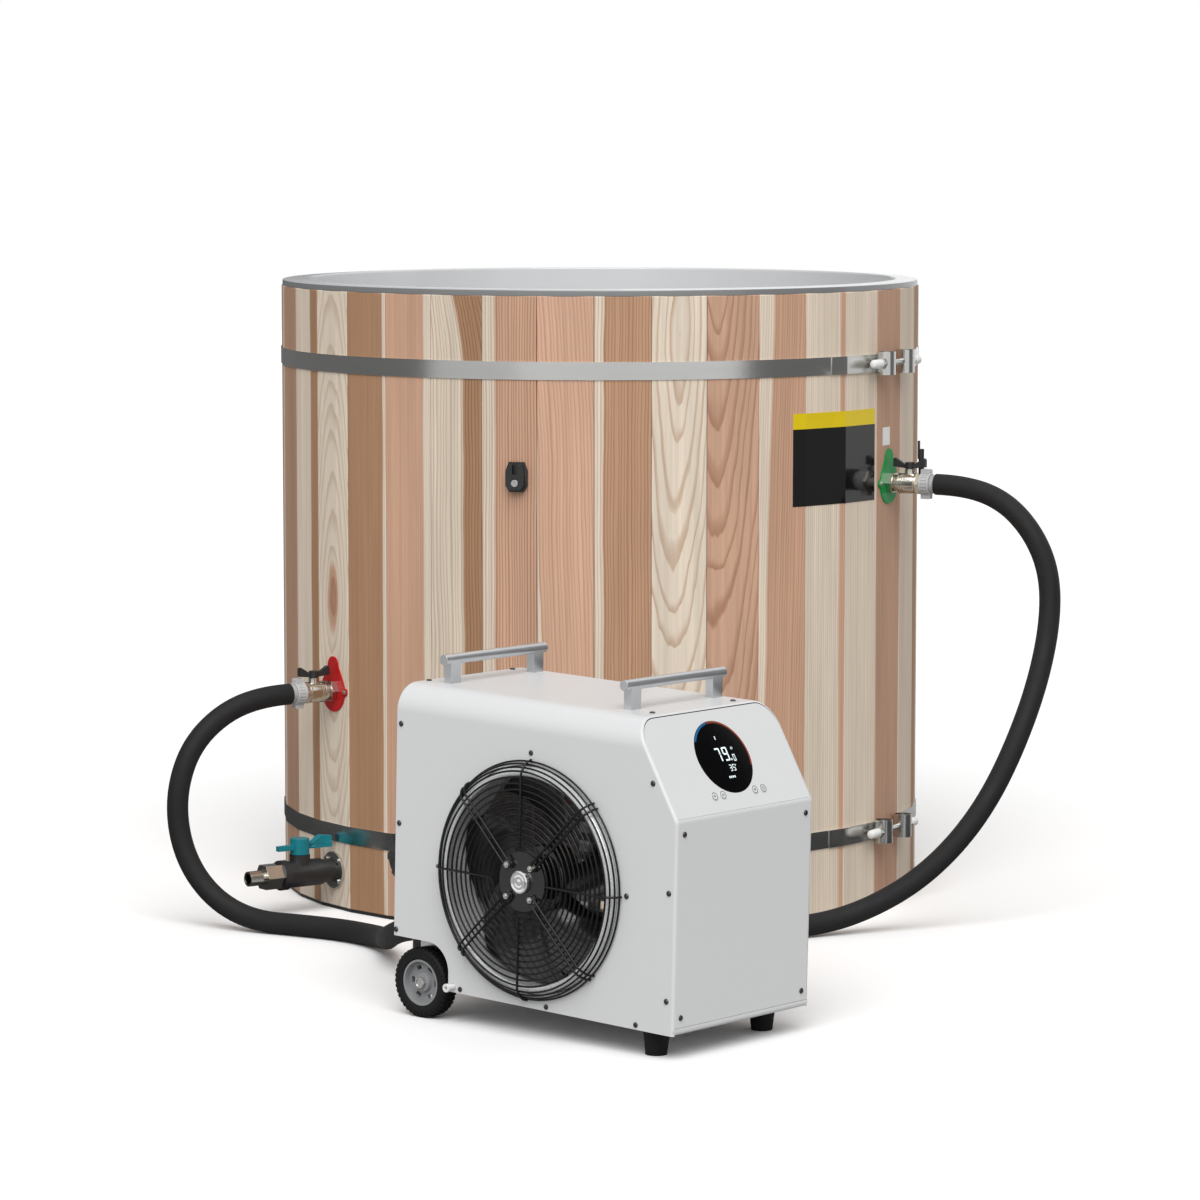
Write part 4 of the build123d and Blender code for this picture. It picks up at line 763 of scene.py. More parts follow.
def rim_material():
    s = Shader("rim_grey")
    spot = s.coords()
    wide = s.noise(s.scale(spot, (2.0, 2.0, 0.6)), 3.0, 2.0)
    fine = s.noise(spot, 500.0, 2.0)
    x, y, _ = s.split(spot)
    reach = s.math("SQRT", s.math("MULTIPLY_ADD", x, x, s.math("MULTIPLY", y, y)))
    # Painted shade: the outer millimetre of the rim, its outer face and rounded edge, is darkened to near black (0.20)
    # in the colour, standing in for the shade on the rim's side.
    lip = s.span(reach, RIM_R - 0.0010, RIM_R - 0.0004, 0.0, 1.0)
    tint = s.mix(wide, (0.62, 0.63, 0.64), (0.68, 0.69, 0.70))
    s.set(color=s.mix(lip, tint, (0.20, 0.203, 0.205)), rough=s.span(fine, 0.3, 0.7, 0.2, 0.27))
    s.set(normal=s.bump(s.math("ADD", wide, s.math("MULTIPLY", fine, 0.05)), 0.08, 0.002), coat=0.2)
    return s.mat


LINER_GREY = rim_material()


def make_liner():
    inner = LINER_R - 0.0015
    top = 1.0015
    mouth = [
        (0.0, 0.0355),
        (inner - 0.004, 0.0355),
        (inner - 0.001, 0.0367),
        (inner, 0.0395),
        (inner, top - 0.0025),
        (inner + 0.0004, top + 0.0004),
        (inner + 0.0016, top + 0.0014),
        (inner + 0.0034, top + 0.0014),
        (inner + 0.0048, top + 0.0006),
        (inner + 0.006, top),
        (RIM_R - 0.0012, top),
        (RIM_R - 0.0003, top - 0.0004),
        (RIM_R, top - 0.0013),
        (RIM_R, STAVE_Z[1]),
        (RIM_R - 0.0015, STAVE_Z[1]),
        (RIM_R - 0.0015, top - 0.0015),
        (LINER_R, top - 0.0015),
        (LINER_R, 0.034),
        (0.0, 0.034),
    ]
    obj = lathe("liner_and_rim", mouth, LINER_GREY, sides=256, angle=50)
    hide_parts("rim", "liner")
    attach(obj, ROOT)


make_liner()


def steel_material(name, low, high, rough, along="z", lift=0.15, metal=1.0):
    """Brushed steel, its scratches along the band."""
    s = Shader(name)
    x, y, z = s.split(s.coords())
    if along == "ring":
        angle = s.math("ARCTAN2", y, x)
        lane = s.join(s.math("MULTIPLY", angle, 3.0), s.math("MULTIPLY", z, 2600.0), 0.0)
        broad = s.join(s.math("MULTIPLY", angle, 4.0), s.math("MULTIPLY", z, 60.0), 2.0)
    else:
        lane = s.join(s.math("MULTIPLY", x, 900.0), s.math("MULTIPLY", y, 900.0), s.math("MULTIPLY", z, 900.0))
        broad = s.join(s.math("MULTIPLY", x, 40.0), s.math("MULTIPLY", y, 40.0), s.math("MULTIPLY", z, 40.0))
    fine = s.noise(lane, 1.0, 3.0, 0.6)
    wide = s.noise(broad, 1.0, 2.0)
    s.set(color=s.mix(s.math("MULTIPLY_ADD", fine, 0.5, s.math("MULTIPLY", wide, 0.5)), low, high), metal=metal)
    s.set(rough=s.span(fine, 0.3, 0.7, rough * 0.85, rough * 1.2), normal=s.bump(fine, lift, 0.0002))
    return s.mat


HOOP_STEEL = steel_material("hoop_steel", (0.60, 0.60, 0.59), (0.72, 0.72, 0.70), 0.2, "ring")
ZINC = steel_material("zinc", (0.52, 0.52, 0.50), (0.66, 0.66, 0.64), 0.28)
BRIGHT = steel_material("bright_steel", (0.5, 0.51, 0.52), (0.66, 0.67, 0.68), 0.25)
NICKEL = steel_material("nickel", (0.50, 0.48, 0.43), (0.68, 0.655, 0.60), 0.17)
CHROME = steel_material("chrome", (0.72, 0.72, 0.73), (0.8, 0.8, 0.81), 0.1, lift=0.03)
ALUMINIUM = steel_material("aluminium", (0.55, 0.56, 0.57), (0.68, 0.69, 0.70), 0.33)
COPPER = steel_material("copper", (0.55, 0.27, 0.16), (0.68, 0.36, 0.22), 0.3)
BLACK = plain("black_plastic", (0.018, 0.018, 0.019), 0.42, lift=0.2)
GLOSS_BLACK = plain("gloss_black", (0.01, 0.01, 0.011), 0.18, grain=300, lift=0.05, coat=0.4)
WIRE_BLACK = plain("wire_black", (0.004, 0.004, 0.004), 0.22, grain=300, lift=0.02, spec=0.3)
GREY = plain("grey_plastic", (0.50, 0.505, 0.51), 0.42)
SCREW_BLACK = steel_material("screw_black", (0.03, 0.03, 0.03), (0.12, 0.12, 0.12), 0.3)
TEAL = plain("teal_plastic", (0.0, 0.19, 0.235), 0.35)
WHITE_PLASTIC = plain("white_plastic", (0.8, 0.8, 0.79), 0.4)
RED = plain("red_enamel", (0.50, 0.010, 0.010), 0.38, grain=200, spec=0.25)
GREEN = plain("green_enamel", (0.0, 0.27, 0.055), 0.38, grain=200, spec=0.25)
PAINT = plain("case_paint", (0.695, 0.70, 0.705), 0.36, grain=700, lift=0.03, vary=0.003)
RUBBER = plain("black_rubber", (0.008, 0.008, 0.008), 0.6, grain=1200, lift=0.3, spec=0.2)
WHEEL_GREY = plain("wheel_grey", (0.26, 0.265, 0.27), 0.45)
GLASS_BLACK = plain("display_glass", (0.0015, 0.0015, 0.002), 0.22, grain=100, lift=0.0, spec=0.08)
BOARD = plain("floor_wood", (0.5, 0.36, 0.24), 0.7)

PLATE_BLACK = plain("plate_black", (0.004, 0.004, 0.004), 0.12, grain=60, lift=0.01, coat=0.8)
PLATE_YELLOW = plain("plate_yellow", (0.75, 0.56, 0.0), 0.3, grain=60, lift=0.01)
make_plates()

STEM_PARTS = {
    "hoops": HOOP_STEEL,
    "hoop_bolts": ZINC,
    "rod_caps": WHITE_PLASTIC,
    "outlet_plate": RED,
    "inlet_plate": GREEN,
    "plate_screws": ZINC,
    "wall_valves": NICKEL,
    "outlet_ball": NICKEL,
    "inlet_ball": NICKEL,
    "outlet_handle": BLACK,
    "inlet_handle": BLACK,
    "hose_tails": GREY,
    "air_bleed": BLACK,
    "drain_flange": ZINC,
    "drain_valve": BLACK,
    "drain_ball": NICKEL,
    "drain_handle": TEAL,
    "drain_adapter": NICKEL,
    "latch_body": BLACK,
    "latch_plug": ZINC,
    "rear_panel": PAINT,
    "base_tray": PAINT,
    "wheel_axle": ZINC,
    "near_hub": WHEEL_GREY,
    "far_hub": WHEEL_GREY,
    "rubber_feet": RUBBER,
    "carry_handles": ALUMINIUM,
    "case_screws": SCREW_BLACK,
    "down_button": PAINT,
    "up_button": PAINT,
    "mode_button": PAINT,
    "power_button": PAINT,
    "fan_motor": GLOSS_BLACK,
    "drip_nipple": WHITE_PLASTIC,
    "filter_cap": BLACK,
    "power_socket": BLACK,
}
for part, material in STEM_PARTS.items():
    dress(part, material)
for part, material in {
    "base_ring": BLACK,
    "floor": BOARD,
    "electronics": BLACK,
    "condenser_coil": ALUMINIUM,
    "compressor": BLACK,
    "heat_exchanger": COPPER,
    "water_pump": BLACK,
    "filter_housing": BLACK,
}.items():
    paint(part, material)


# Valve trim and union nuts


def make_unions():
    nuts, trims = [], []
    for polar, level in ((OUT_POLAR, OUT_Z), (IN_POLAR, IN_Z)):
        spot = wall(polar, level)
        along = spot @ Matrix.Rotation(math.pi / 2, 4, "Y")
        band = [
            (0.0125, 0.0582),
            (0.0168, 0.0582),
            (0.0176, 0.0590),
            (0.0176, 0.0618),
            (0.0168, 0.0626),
            (0.0168, 0.0724),
            (0.0176, 0.0732),
            (0.0176, 0.0752),
            (0.0168, 0.0760),
            (0.0125, 0.0760),
        ]
        parts = [lathe("union_body", band, GREY, along, 64, 30, closed=True)]
        for k in range(20):
            a = TAU * (k + 0.5) / 20
            rib = brick("rib", 0.0164, 0.0176, -0.0009, 0.0009, 0.0622, 0.0728, GREY, along @ Matrix.Rotation(a, 4, "Z"))
            parts.append(rib)
        for side in (-1, 1):
            wing = [(0.059, side * 0.012), (0.0752, side * 0.012), (0.0752, side * 0.0228)]
            wing += [(0.0740, side * 0.0240), (0.0602, side * 0.0240), (0.059, side * 0.0228)]
            flat = spot @ Matrix.Rotation(math.pi / 2, 4, "X")
            for push in (-0.0056, 0.0026):
                parts.append(bevel(slab("wing", wing, push, push + 0.0030, GREY, flat), 0.0004))
            bar = brick("wing_bar", 0.0602, 0.0740, -0.003, 0.003, side * 0.0190 - 0.0012, side * 0.0190 + 0.0012, GREY, spot)
            parts.append(bar)
        collar = [(0.0122, 0.0762)]
        for k in range(4):
            x = 0.0764 + k * 0.0019
            collar += [(0.0138, x), (0.0150, x + 0.0004), (0.0150, x + 0.0011), (0.0138, x + 0.0015)]
        collar.append((0.0122, 0.0838))
        parts.append(lathe("collar", collar, GREY, along, 48, 30, closed=True))
        nuts += parts
        for radius, start, end in ((0.0172, 0.0215, 0.0232), (0.0169, 0.0262, 0.0270), (0.0169, 0.0292, 0.0300), (0.0171, 0.0485, 0.0503)):
            ring = [(radius - 0.002, start), (radius - 0.0003, start), (radius, start + 0.0003)]
            ring += [(radius, end - 0.0003), (radius - 0.0003, end), (radius - 0.002, end)]
            trims.append(lathe("body_ring", ring, NICKEL, along, 64, 30, closed=True))
        for k in range(3):
            x = 0.0128 + k * 0.0013
            thread = [(0.0132, x), (0.0146, x + 0.0005), (0.0132, x + 0.0010)]
            trims.append(lathe("thread", thread, NICKEL, along, 48, 20, closed=True))
    obj = joined("union_nuts", nuts)
    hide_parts("ring_nuts")
    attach(obj, ROOT)
    obj = joined("valve_rings", trims)
    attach(obj, ROOT)


make_unions()


def make_tyres():
    for side, node in ((-1, "near_tyre"), (1, "far_tyre")):
        middle = side * (CASE_SIDE - 0.0044 - 0.014)
        spot = CASE @ Matrix.Translation((0, middle, 0.05)) @ Matrix.Rotation(math.pi / 2, 4, "X")
        profile = [
            (0.0331, -0.0105),
            (0.0345, -0.0130),
            (0.0380, -0.0139),
            (0.0430, -0.0139),
            (0.0468, -0.0130),
            (0.0486, -0.0108),
            (0.0489, -0.0060),
            (0.0489, 0.0060),
            (0.0486, 0.0108),
            (0.0468, 0.0130),
            (0.0430, 0.0139),
            (0.0380, 0.0139),
            (0.0345, 0.0130),
            (0.0331, 0.0105),
        ]
        parts = [lathe("tyre_body", profile, RUBBER, spot, 96, 40, closed=True)]
        count = 40
        for k in range(count):
            turn = Matrix.Rotation(TAU * k / count, 4, "Z")
            half = Matrix.Rotation(TAU * (k + 0.5) / count, 4, "Z")
            block = slab("tread", [(0.0482, -0.0028), (0.0500, -0.0024), (0.0500, 0.0024), (0.0482, 0.0028)], -0.0034, 0.0034, RUBBER, spot @ turn)
            parts.append(block)
            for low, high in ((-0.0112, -0.0048), (0.0048, 0.0112)):
                block = slab("tread", [(0.0478, -0.0028), (0.0498, -0.0023), (0.0498, 0.0023), (0.0478, 0.0028)], low, high, RUBBER, spot @ half)
                parts.append(block)
            for face in (-1, 1):
                low, high = sorted((face * 0.0136, face * 0.01445))
                block = slab("lug", [(0.0415, -0.0012), (0.0462, -0.0016), (0.0462, 0.0016), (0.0415, 0.0012)], low, high, RUBBER, spot @ half)
                parts.append(block)
        obj = joined(node + "_tread", parts)
        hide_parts(node)
        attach(obj, body_of(node))


make_tyres()


# Chiller case

FOLD = 0.0042
CREASE = 0.012
UP_X, UP_Z = SLANT_X - CASE_FRONT, CASE_TOP - SLANT_Z
SLANT_LONG = math.hypot(UP_X, UP_Z)
UP = Vector((UP_X, 0, UP_Z)) / SLANT_LONG
FACE = Vector((UP.z, 0, -UP.x))
TURN = math.atan2(FACE.z, FACE.x)
CREASE_CUT = CREASE * math.tan(TURN / 2)
SLANT_M = CASE @ Matrix(
    ((0, UP.x, FACE.x, CASE_FRONT), (1, 0, 0, 0), (0, UP.z, FACE.z, SLANT_Z), (0, 0, 0, 1))
)
SIDE_M = CASE @ Matrix.Rotation(math.pi / 2, 4, "X")


def crease_points(steps=6):
    """The bend between the front and the slanted panel: (x, z, outward)."""
    made = []
    for k in range(steps + 1):
        a = TURN * k / steps
        out = Vector((math.cos(a), 0, math.sin(a)))
        made.append((CASE_FRONT - CREASE + CREASE * out.x, SLANT_Z - CREASE_CUT + CREASE * out.z, out))
    return made


def mouth(z):
    """Where the cover's open front edge is at this height, and its outward direction."""
    bend = crease_points()
    if z <= bend[0][1] + 1e-7:
        return CASE_FRONT, Vector((1, 0, 0))
    for x, level, out in bend:
        if abs(level - z) < 1e-7:
            return x, out
    return CASE_FRONT + (z - SLANT_Z) * UP_X / UP_Z, FACE


def cover_section():
    """Near side, bend and half of the top as (y, z, outward); the rest mirrors it."""
    levels = [CASE_LOW, 0.15, 0.25] + [z for x, z, out in crease_points()] + [0.39]
    made = [(-CASE_SIDE, z, Vector((0, -1, 0))) for z in levels]
    for k in range(17):
        a = math.pi / 2 * k / 16
        out = Vector((0, -math.cos(a), math.sin(a)))
        made.append((-CASE_SIDE + BEND + BEND * out.y, CASE_TOP - BEND + BEND * out.z, out))
    flipped = [(-y, z, Vector((0, -out.y, out.z))) for y, z, out in reversed(made)]
    return made + flipped


def make_cover():
    verts, faces = [], []
    steps = 5
    for y, z, out in cover_section():
        x, ahead = mouth(z)
        edge = Vector((x, y, z))
        middle = edge - FOLD * (out + ahead) / (1 + out.dot(ahead))
        ways = []
        for k in range(steps + 1):
            ways.append(out.slerp(ahead, k / steps))
        verts.append((CASE_REAR, y, z))
        verts += [middle + FOLD * way for way in ways]
        verts += [middle + (FOLD - SHEET) * way for way in reversed(ways)]
        verts.append(Vector((CASE_REAR, y, z)) - SHEET * out)
    n = 2 * (steps + 1) + 2
    ribs = len(verts) // n
    for i in range(ribs - 1):
        for k in range(n):
            a, b = i * n, (i + 1) * n
            faces.append([a + k, a + (k + 1) % n, b + (k + 1) % n, b + k])
    faces.append(list(range(n)))
    faces.append([(ribs - 1) * n + k for k in range(n)][::-1])
    obj = mesh_object("cover", verts, faces, PAINT, CASE)
    arch = [(-0.07, 0.02), (0.06, 0.02)]
    for k in range(13):
        a = math.pi / 2 * k / 12
        arch.append((0.02 + 0.04 * math.cos(a), 0.073 + 0.04 * math.sin(a)))
    arch.append((-0.07, 0.113))
    cutters = [
        slab("near_arch", arch, 0.1, 0.16, None, SIDE_M),
        slab("far_arch", arch, -0.16, -0.1, None, SIDE_M),
        slab("fan_mouth", circle(0.160, 96, *FAN), 0.1, 0.16, None, SIDE_M),
        slab("drip_hole", circle(0.005, 16, 0.070, 0.056), 0.1, 0.16, None, SIDE_M),
    ]
    slots = []
    for column in (-1, 1):
        for row in range(11):
            x, z = 0.236 + column * 0.08, 0.227 + (row - 5) * 0.03
            slots.append(brick("slot", x - 0.068, x + 0.068, z - 0.006, z + 0.006, -0.16, -0.14, None, SIDE_M))
    cut(obj, *cutters, joined("slots", slots))
    finish_mesh(obj, 30)
    obj.modifiers.new("even", "WEIGHTED_NORMAL").keep_sharp = True
    settle(obj)
    obj.data.materials.clear()
    obj.data.materials.append(PAINT)
    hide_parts("case_shell")
    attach(obj, ROOT)


def make_front_panels():
    half = CASE_SIDE - FOLD - 0.0002
    line = [(CASE_FRONT, CASE_LOW + 0.010, Vector((1, 0, 0)))] + crease_points(8)
    outline = [(x, z) for x, z, out in line] + [(x - SHEET * out.x, z - SHEET * out.z) for x, z, out in reversed(line)]
    front = slab("service_panel", outline, -half, half, PAINT, SIDE_M, 30)
    bevel(front, 0.0004, 2, 60)
    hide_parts("front_panel")
    low, high = CREASE_CUT + 0.0002, SLANT_LONG - FOLD * 0.56 - 0.0002
    corner = []
    for k in range(13):
        a = math.pi / 2 * k / 12
        y = CASE_SIDE - BEND + (BEND - FOLD - 0.0002) * math.cos(a)
        z = CASE_TOP - BEND + (BEND - FOLD * 0.75) * math.sin(a)
        corner.append((y, min(high, (z - SLANT_Z) / UP.z)))
    outline = [(-half, low), (half, low)] + corner + [(-y, t) for y, t in reversed(corner)]
    slant = slab("sloping_panel", outline, -SHEET, 0.0, PAINT, SLANT_M, 30)
    bevel(slant, 0.0003, 2, 60)
    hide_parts("slant_panel")
    lip = [(CASE_FRONT - 0.0006, CASE_LOW + 0.0094)]
    for k in range(9):
        a = math.pi / 2 * k / 8
        lip.append((CASE_FRONT - 0.0066 + 0.006 * math.cos(a), CASE_LOW + 0.006 - 0.006 * math.sin(a)))
    lip += [(CASE_FRONT - 0.03, CASE_LOW), (CASE_FRONT - 0.03, CASE_LOW + 0.0094)]
    rolled = slab("tray_lip", lip, -CASE_SIDE + 0.0015, CASE_SIDE - 0.0015, PAINT, SIDE_M, 30)
    for piece in (front, slant, rolled):
        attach(piece, ROOT)


DIGITS = {
    "0": "abcdef",
    "3": "abgcd",
    "5": "afgcd",
    "7": "abc",
    "9": "abcdfg",
}


def digit(mark, x, y, height, lift):
    """One seven segment figure, its lower left corner at (x, y)."""
    w, t = height * 0.52, height * 0.115
    h = height / 2
    spots = {
        "a": (t * 0.6, 2 * h - t, w - t * 0.6, 2 * h),
        "g": (t * 0.6, h - t / 2, w - t * 0.6, h + t / 2),
        "d": (t * 0.6, 0, w - t * 0.6, t),
        "b": (w - t, h + t * 0.2, w, 2 * h - t * 0.3),
        "c": (w - t, t * 0.3, w, h - t * 0.2),
        "f": (0, h + t * 0.2, t, 2 * h - t * 0.3),
        "e": (0, t * 0.3, t, h - t * 0.2),
    }
    made = []
    for name in DIGITS[mark]:
        x0, y0, x1, y1 = spots[name]
        made.append(brick("segment", x + x0, x + x1, y + y0, y + y1, lift, lift + 0.00012, LIT_WHITE, SLANT_M))
    return made


def arc_band(name, start, end, inner, outer, lift, mat, mid, sides=40):
    ring = []
    for k in range(sides + 1):
        a = math.radians(start + (end - start) * k / sides)
        ring.append((mid[0] + outer * math.cos(a), mid[1] + outer * math.sin(a)))
    for k in range(sides, -1, -1):
        a = math.radians(start + (end - start) * k / sides)
        ring.append((mid[0] + inner * math.cos(a), mid[1] + inner * math.sin(a)))
    half = len(ring) // 2
    verts = [(x, y, z) for z in (lift, lift + 0.00012) for x, y in ring]
    n = len(ring)
    faces = []
    for k in range(half - 1):
        a, b, c, d = k, k + 1, n - 2 - k, n - 1 - k
        faces += [[a, b, c, d][::-1], [n + a, n + b, n + c, n + d]]
    faces += [[k, (k + 1) % n, n + (k + 1) % n, n + k] for k in range(n)]
    return mesh_object(name, verts, faces, mat, SLANT_M)


def make_display():
    mid = (0.0, 0.0813)
    spot = SLANT_M @ Matrix.Translation((*mid, 0))
    glass = lathe(
        "round_display",
        [(0, -0.001), (0.054, -0.001), (0.054, 0.0002), (0.0536, 0.0005), (0.0531, 0.0006), (0, 0.0006)],
        GLASS_BLACK,
        spot,
        96,
    )
    top = 0.00062
    marks = [
        arc_band("cold_arc", 100, 148, 0.0505, 0.0532, top, ARC_BLUE, mid),
        arc_band("warm_arc", 98, -20, 0.0505, 0.0532, top, ARC_RED, mid),
    ]
    marks += digit("7", mid[0] - 0.0147, mid[1] - 0.0068, 0.0205, top)
    marks += digit("9", mid[0] + 0.0007, mid[1] - 0.0068, 0.0205, top)
    marks += digit("0", mid[0] + 0.0180, mid[1] - 0.0085, 0.0100, top)
    marks += digit("3", mid[0] + 0.0024, mid[1] - 0.0223, 0.0096, top)
    marks += digit("5", mid[0] + 0.0093, mid[1] - 0.0223, 0.0096, top)
    dot = (mid[0] + 0.0128, mid[1] - 0.0068)
    marks.append(brick("point", dot[0], dot[0] + 0.0024, dot[1], dot[1] + 0.0024, top, top + 0.00012, LIT_WHITE, SLANT_M))
    for x, y, r in ((0.0222, 0.0105, 0.0020), (0.0160, -0.0143, 0.0013)):
        marks.append(arc_band("ring_mark", 0, 359.9, r - 0.0007, r, top, LIT_WHITE, (mid[0] + x, mid[1] + y), 20))
    for k in range(4):
        x = mid[0] - 0.006 + k * 0.0036
        marks.append(brick("bar", x, x + 0.0022, mid[1] - 0.0320, mid[1] - 0.0289, top, top + 0.00012, LIT_WHITE, SLANT_M))
    marks.append(brick("mark", mid[0] - 0.0031, mid[0] - 0.0016, mid[1] + 0.0257, mid[1] + 0.0310, top, top + 0.00012, LIT_WHITE, SLANT_M))
    obj = joined("display_face", [glass] + marks)
    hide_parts("display")
    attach(obj, ROOT)


def make_keys():
    """Ring and sign printed on each key."""
    top = 0.00125
    for name, x, body in (
        ("down", -0.052, "down_key"),
        ("up", -0.034, "up_key"),
        ("mode", 0.034, "mode_key"),
        ("power", 0.052, "power_key"),
    ):
        mid = (x, 0.0275)
        parts = [arc_band("key_ring", 0, 359.9, 0.0049, 0.0056, top, PRINT_GREY, mid)]
        if name in ("down", "up"):
            turn = -1 if name == "down" else 1
            for side in (-1, 1):
                line = [(mid[0], mid[1] + turn * 0.0016), (mid[0] + side * 0.0024, mid[1] - turn * 0.0010)]
                parts.append(wires("key_line", [([(a, b, top) for a, b in line], False)], 0.00035, PRINT_GREY, SLANT_M, 4))
            low = (mid[1] - turn * 0.0026, mid[1] + turn * 0.0014)
            parts.append(wires("key_line", [([(mid[0], b, top) for b in low], False)], 0.0003, PRINT_GREY, SLANT_M, 4))
        elif name == "mode":
            for k in range(3):
                a = math.pi * k / 3
                dx, dy = 0.0027 * math.cos(a), 0.0027 * math.sin(a)
                line = [(mid[0] - dx, mid[1] - dy, top), (mid[0] + dx, mid[1] + dy, top)]
                parts.append(wires("key_line", [(line, False)], 0.0003, PRINT_GREY, SLANT_M, 4))
        else:
            parts.append(arc_band("key_arc", 125, 415, 0.0021, 0.0027, top, PRINT_GREY, mid))
            line = [(mid[0], mid[1] + 0.0005, top), (mid[0], mid[1] + 0.0030, top)]
            parts.append(wires("key_line", [(line, False)], 0.0003, PRINT_GREY, SLANT_M, 4))
        obj = joined(name + "_sign", parts)
        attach(obj, body)


LIT_WHITE = plain("lit_white", (0.75, 0.84, 0.86), 0.5, grain=300, lift=0.0, vary=0.02, emit=(0.8, 0.93, 0.95), emit_power=0.35)
ARC_BLUE = plain("arc_blue", (0.0, 0.13, 0.36), 0.3, grain=300, lift=0.0)
ARC_RED = plain("arc_red", (0.25, 0.035, 0.012), 0.3, grain=300, lift=0.0)
PRINT_GREY = plain("print_grey", (0.035, 0.035, 0.035), 0.5, lift=0.0)
def make_side_screws():
    heads = []
    for x, z in ((0.2085, 0.4045), (0.2450, 0.0540), (0.0830, 0.0540), (0.4080, 0.0545)):
        spot = CASE @ Matrix.Translation((x, -CASE_SIDE, z)) @ Matrix.Rotation(math.pi / 2, 4, "X")
        profile = [(0, -0.0005), (0.0038, -0.0005), (0.0038, 0.0006), (0.0032, 0.0015), (0.0019, 0.0020), (0.0015, 0.0012), (0, 0.0009)]
        heads.append(lathe("head", profile, SCREW_BLACK, spot, 24))
    obj = joined("side_screws", heads)
    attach(obj, ROOT)


make_cover()
make_front_panels()
make_display()
make_keys()
make_side_screws()


# Fan


def make_guard():
    flat = 0.0208
    routes = []
    for k in range(12):
        r = 0.0505 + k * (0.1455 - 0.0505) / 11
        routes.append(([(x, y, flat) for x, y in circle(r, 96)], True))
    for r, z in ((0.1535, 0.0185), (0.1585, 0.0145), (0.163, 0.0095), (0.1662, 0.0035)):
        routes.append(([(x, y, z) for x, y in circle(r, 96)], True))
    strut_z = flat + 0.0022
    side = [(0.149, strut_z), (0.1555, strut_z - 0.0022), (0.1615, strut_z - 0.007), (0.166, strut_z - 0.0125), (0.1685, 0.002)]
    heavy = []
    for k in range(4):
        a = math.radians(90 * k)
        line = [(0.0495, strut_z)] + side
        heavy.append(([(r * math.cos(a), r * math.sin(a), z) for r, z in line], False))
    for k in range(4):
        a = math.radians(45 + 90 * k)
        along = Vector((math.cos(a), math.sin(a), 0))
        across = Vector((-math.sin(a), math.cos(a), 0))
        rise = Vector((0, 0, 1))
        points = [along * r + across * 0.0046 + rise * z for r, z in reversed(side)]
        points.append(along * 0.036 + across * 0.0046 + rise * strut_z)
        for step in range(7):
            turn = math.pi * step / 6
            points.append(
                along * (0.031 - 0.0046 * math.sin(turn)) + across * 0.0046 * math.cos(turn) + rise * (strut_z - 0.0012)
            )
        points.append(along * 0.036 - across * 0.0046 + rise * strut_z)
        points += [along * r - across * 0.0046 + rise * z for r, z in side]
        heavy.append((points, False))
    rings = wires("guard_rings", routes, 0.0014, WIRE_BLACK, FAN_M)
    struts = wires("guard_struts", heavy, 0.0017, WIRE_BLACK, FAN_M)
    obj = joined("wire_guard", [rings, struts])
    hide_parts("fan_guard")
    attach(obj, ROOT)
    bolts = []
    for k in range(4):
        a = math.radians(45 + 90 * k)
        spot = FAN_M @ Matrix.Translation((0.031 * math.cos(a), 0.031 * math.sin(a), 0.0))
        bolts.append(lathe("strut_washer", [(0, 0.0196), (0.0062, 0.0196), (0.0062, 0.0203), (0, 0.0203)], ZINC, spot, 32))
        bolts.append(slab("strut_bolt", circle(0.0046, 6), 0.0225, 0.0262, ZINC, spot))
        bolts.append(
            lathe("bolt_end", [(0, 0.006), (0.0024, 0.006), (0.0024, 0.0272), (0.0018, 0.0282), (0, 0.0284)], ZINC, spot, 24)
        )
    bolts = joined("strut_bolts", bolts)
    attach(bolts, ROOT)


make_guard()


def make_duct():
    """Silver fan ring: a rolled lip in front of the case, and the wall around the blades."""
    profile = [
        (0.1585, -0.0618),
        (0.1585, 0.0),
        (0.1572, 0.0062),
        (0.1550, 0.0096),
        (0.1518, 0.0116),
        (0.1485, 0.0118),
        (0.1462, 0.0104),
        (0.1458, 0.0088),
        (0.1474, 0.0100),
        (0.1500, 0.0102),
        (0.1528, 0.0084),
        (0.1552, 0.0050),
        (0.1570, 0.0),
        (0.1570, -0.0618),
    ]
    obj = lathe("duct_ring", profile, DUCT_STEEL, FAN_M, 128, 60, closed=True)
    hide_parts("fan_duct")
    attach(obj, ROOT)


DUCT_STEEL = steel_material("duct_steel", (0.84, 0.85, 0.86), (0.91, 0.92, 0.93), 0.26, metal=0.3)
make_duct()


def make_cap():
    base = frame["nodes"]["motor_cap"]
    low = min((FAN_M.inverted() @ (base.matrix_world @ v.co)).z for v in base.data.vertices)
    profile = [
        (0, low),
        (0.0150, low),
        (0.0162, low + 0.0008),
        (0.0165, low + 0.0040),
        (0.0158, low + 0.0064),
        (0.0138, low + 0.0076),
        (0.0122, low + 0.0072),
        (0.0112, low + 0.0066),
        (0.0096, low + 0.0066),
        (0.0088, low + 0.0072),
        (0.0070, low + 0.0072),
        (0.0062, low + 0.0066),
        (0.0034, low + 0.0066),
        (0.0026, low + 0.0072),
        (0, low + 0.0073),
    ]
    obj = lathe("rotor_cap", profile, CHROME, FAN_M, 64, 40)
    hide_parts("motor_cap")
    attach(obj, body_of("motor_cap"))


make_cap()


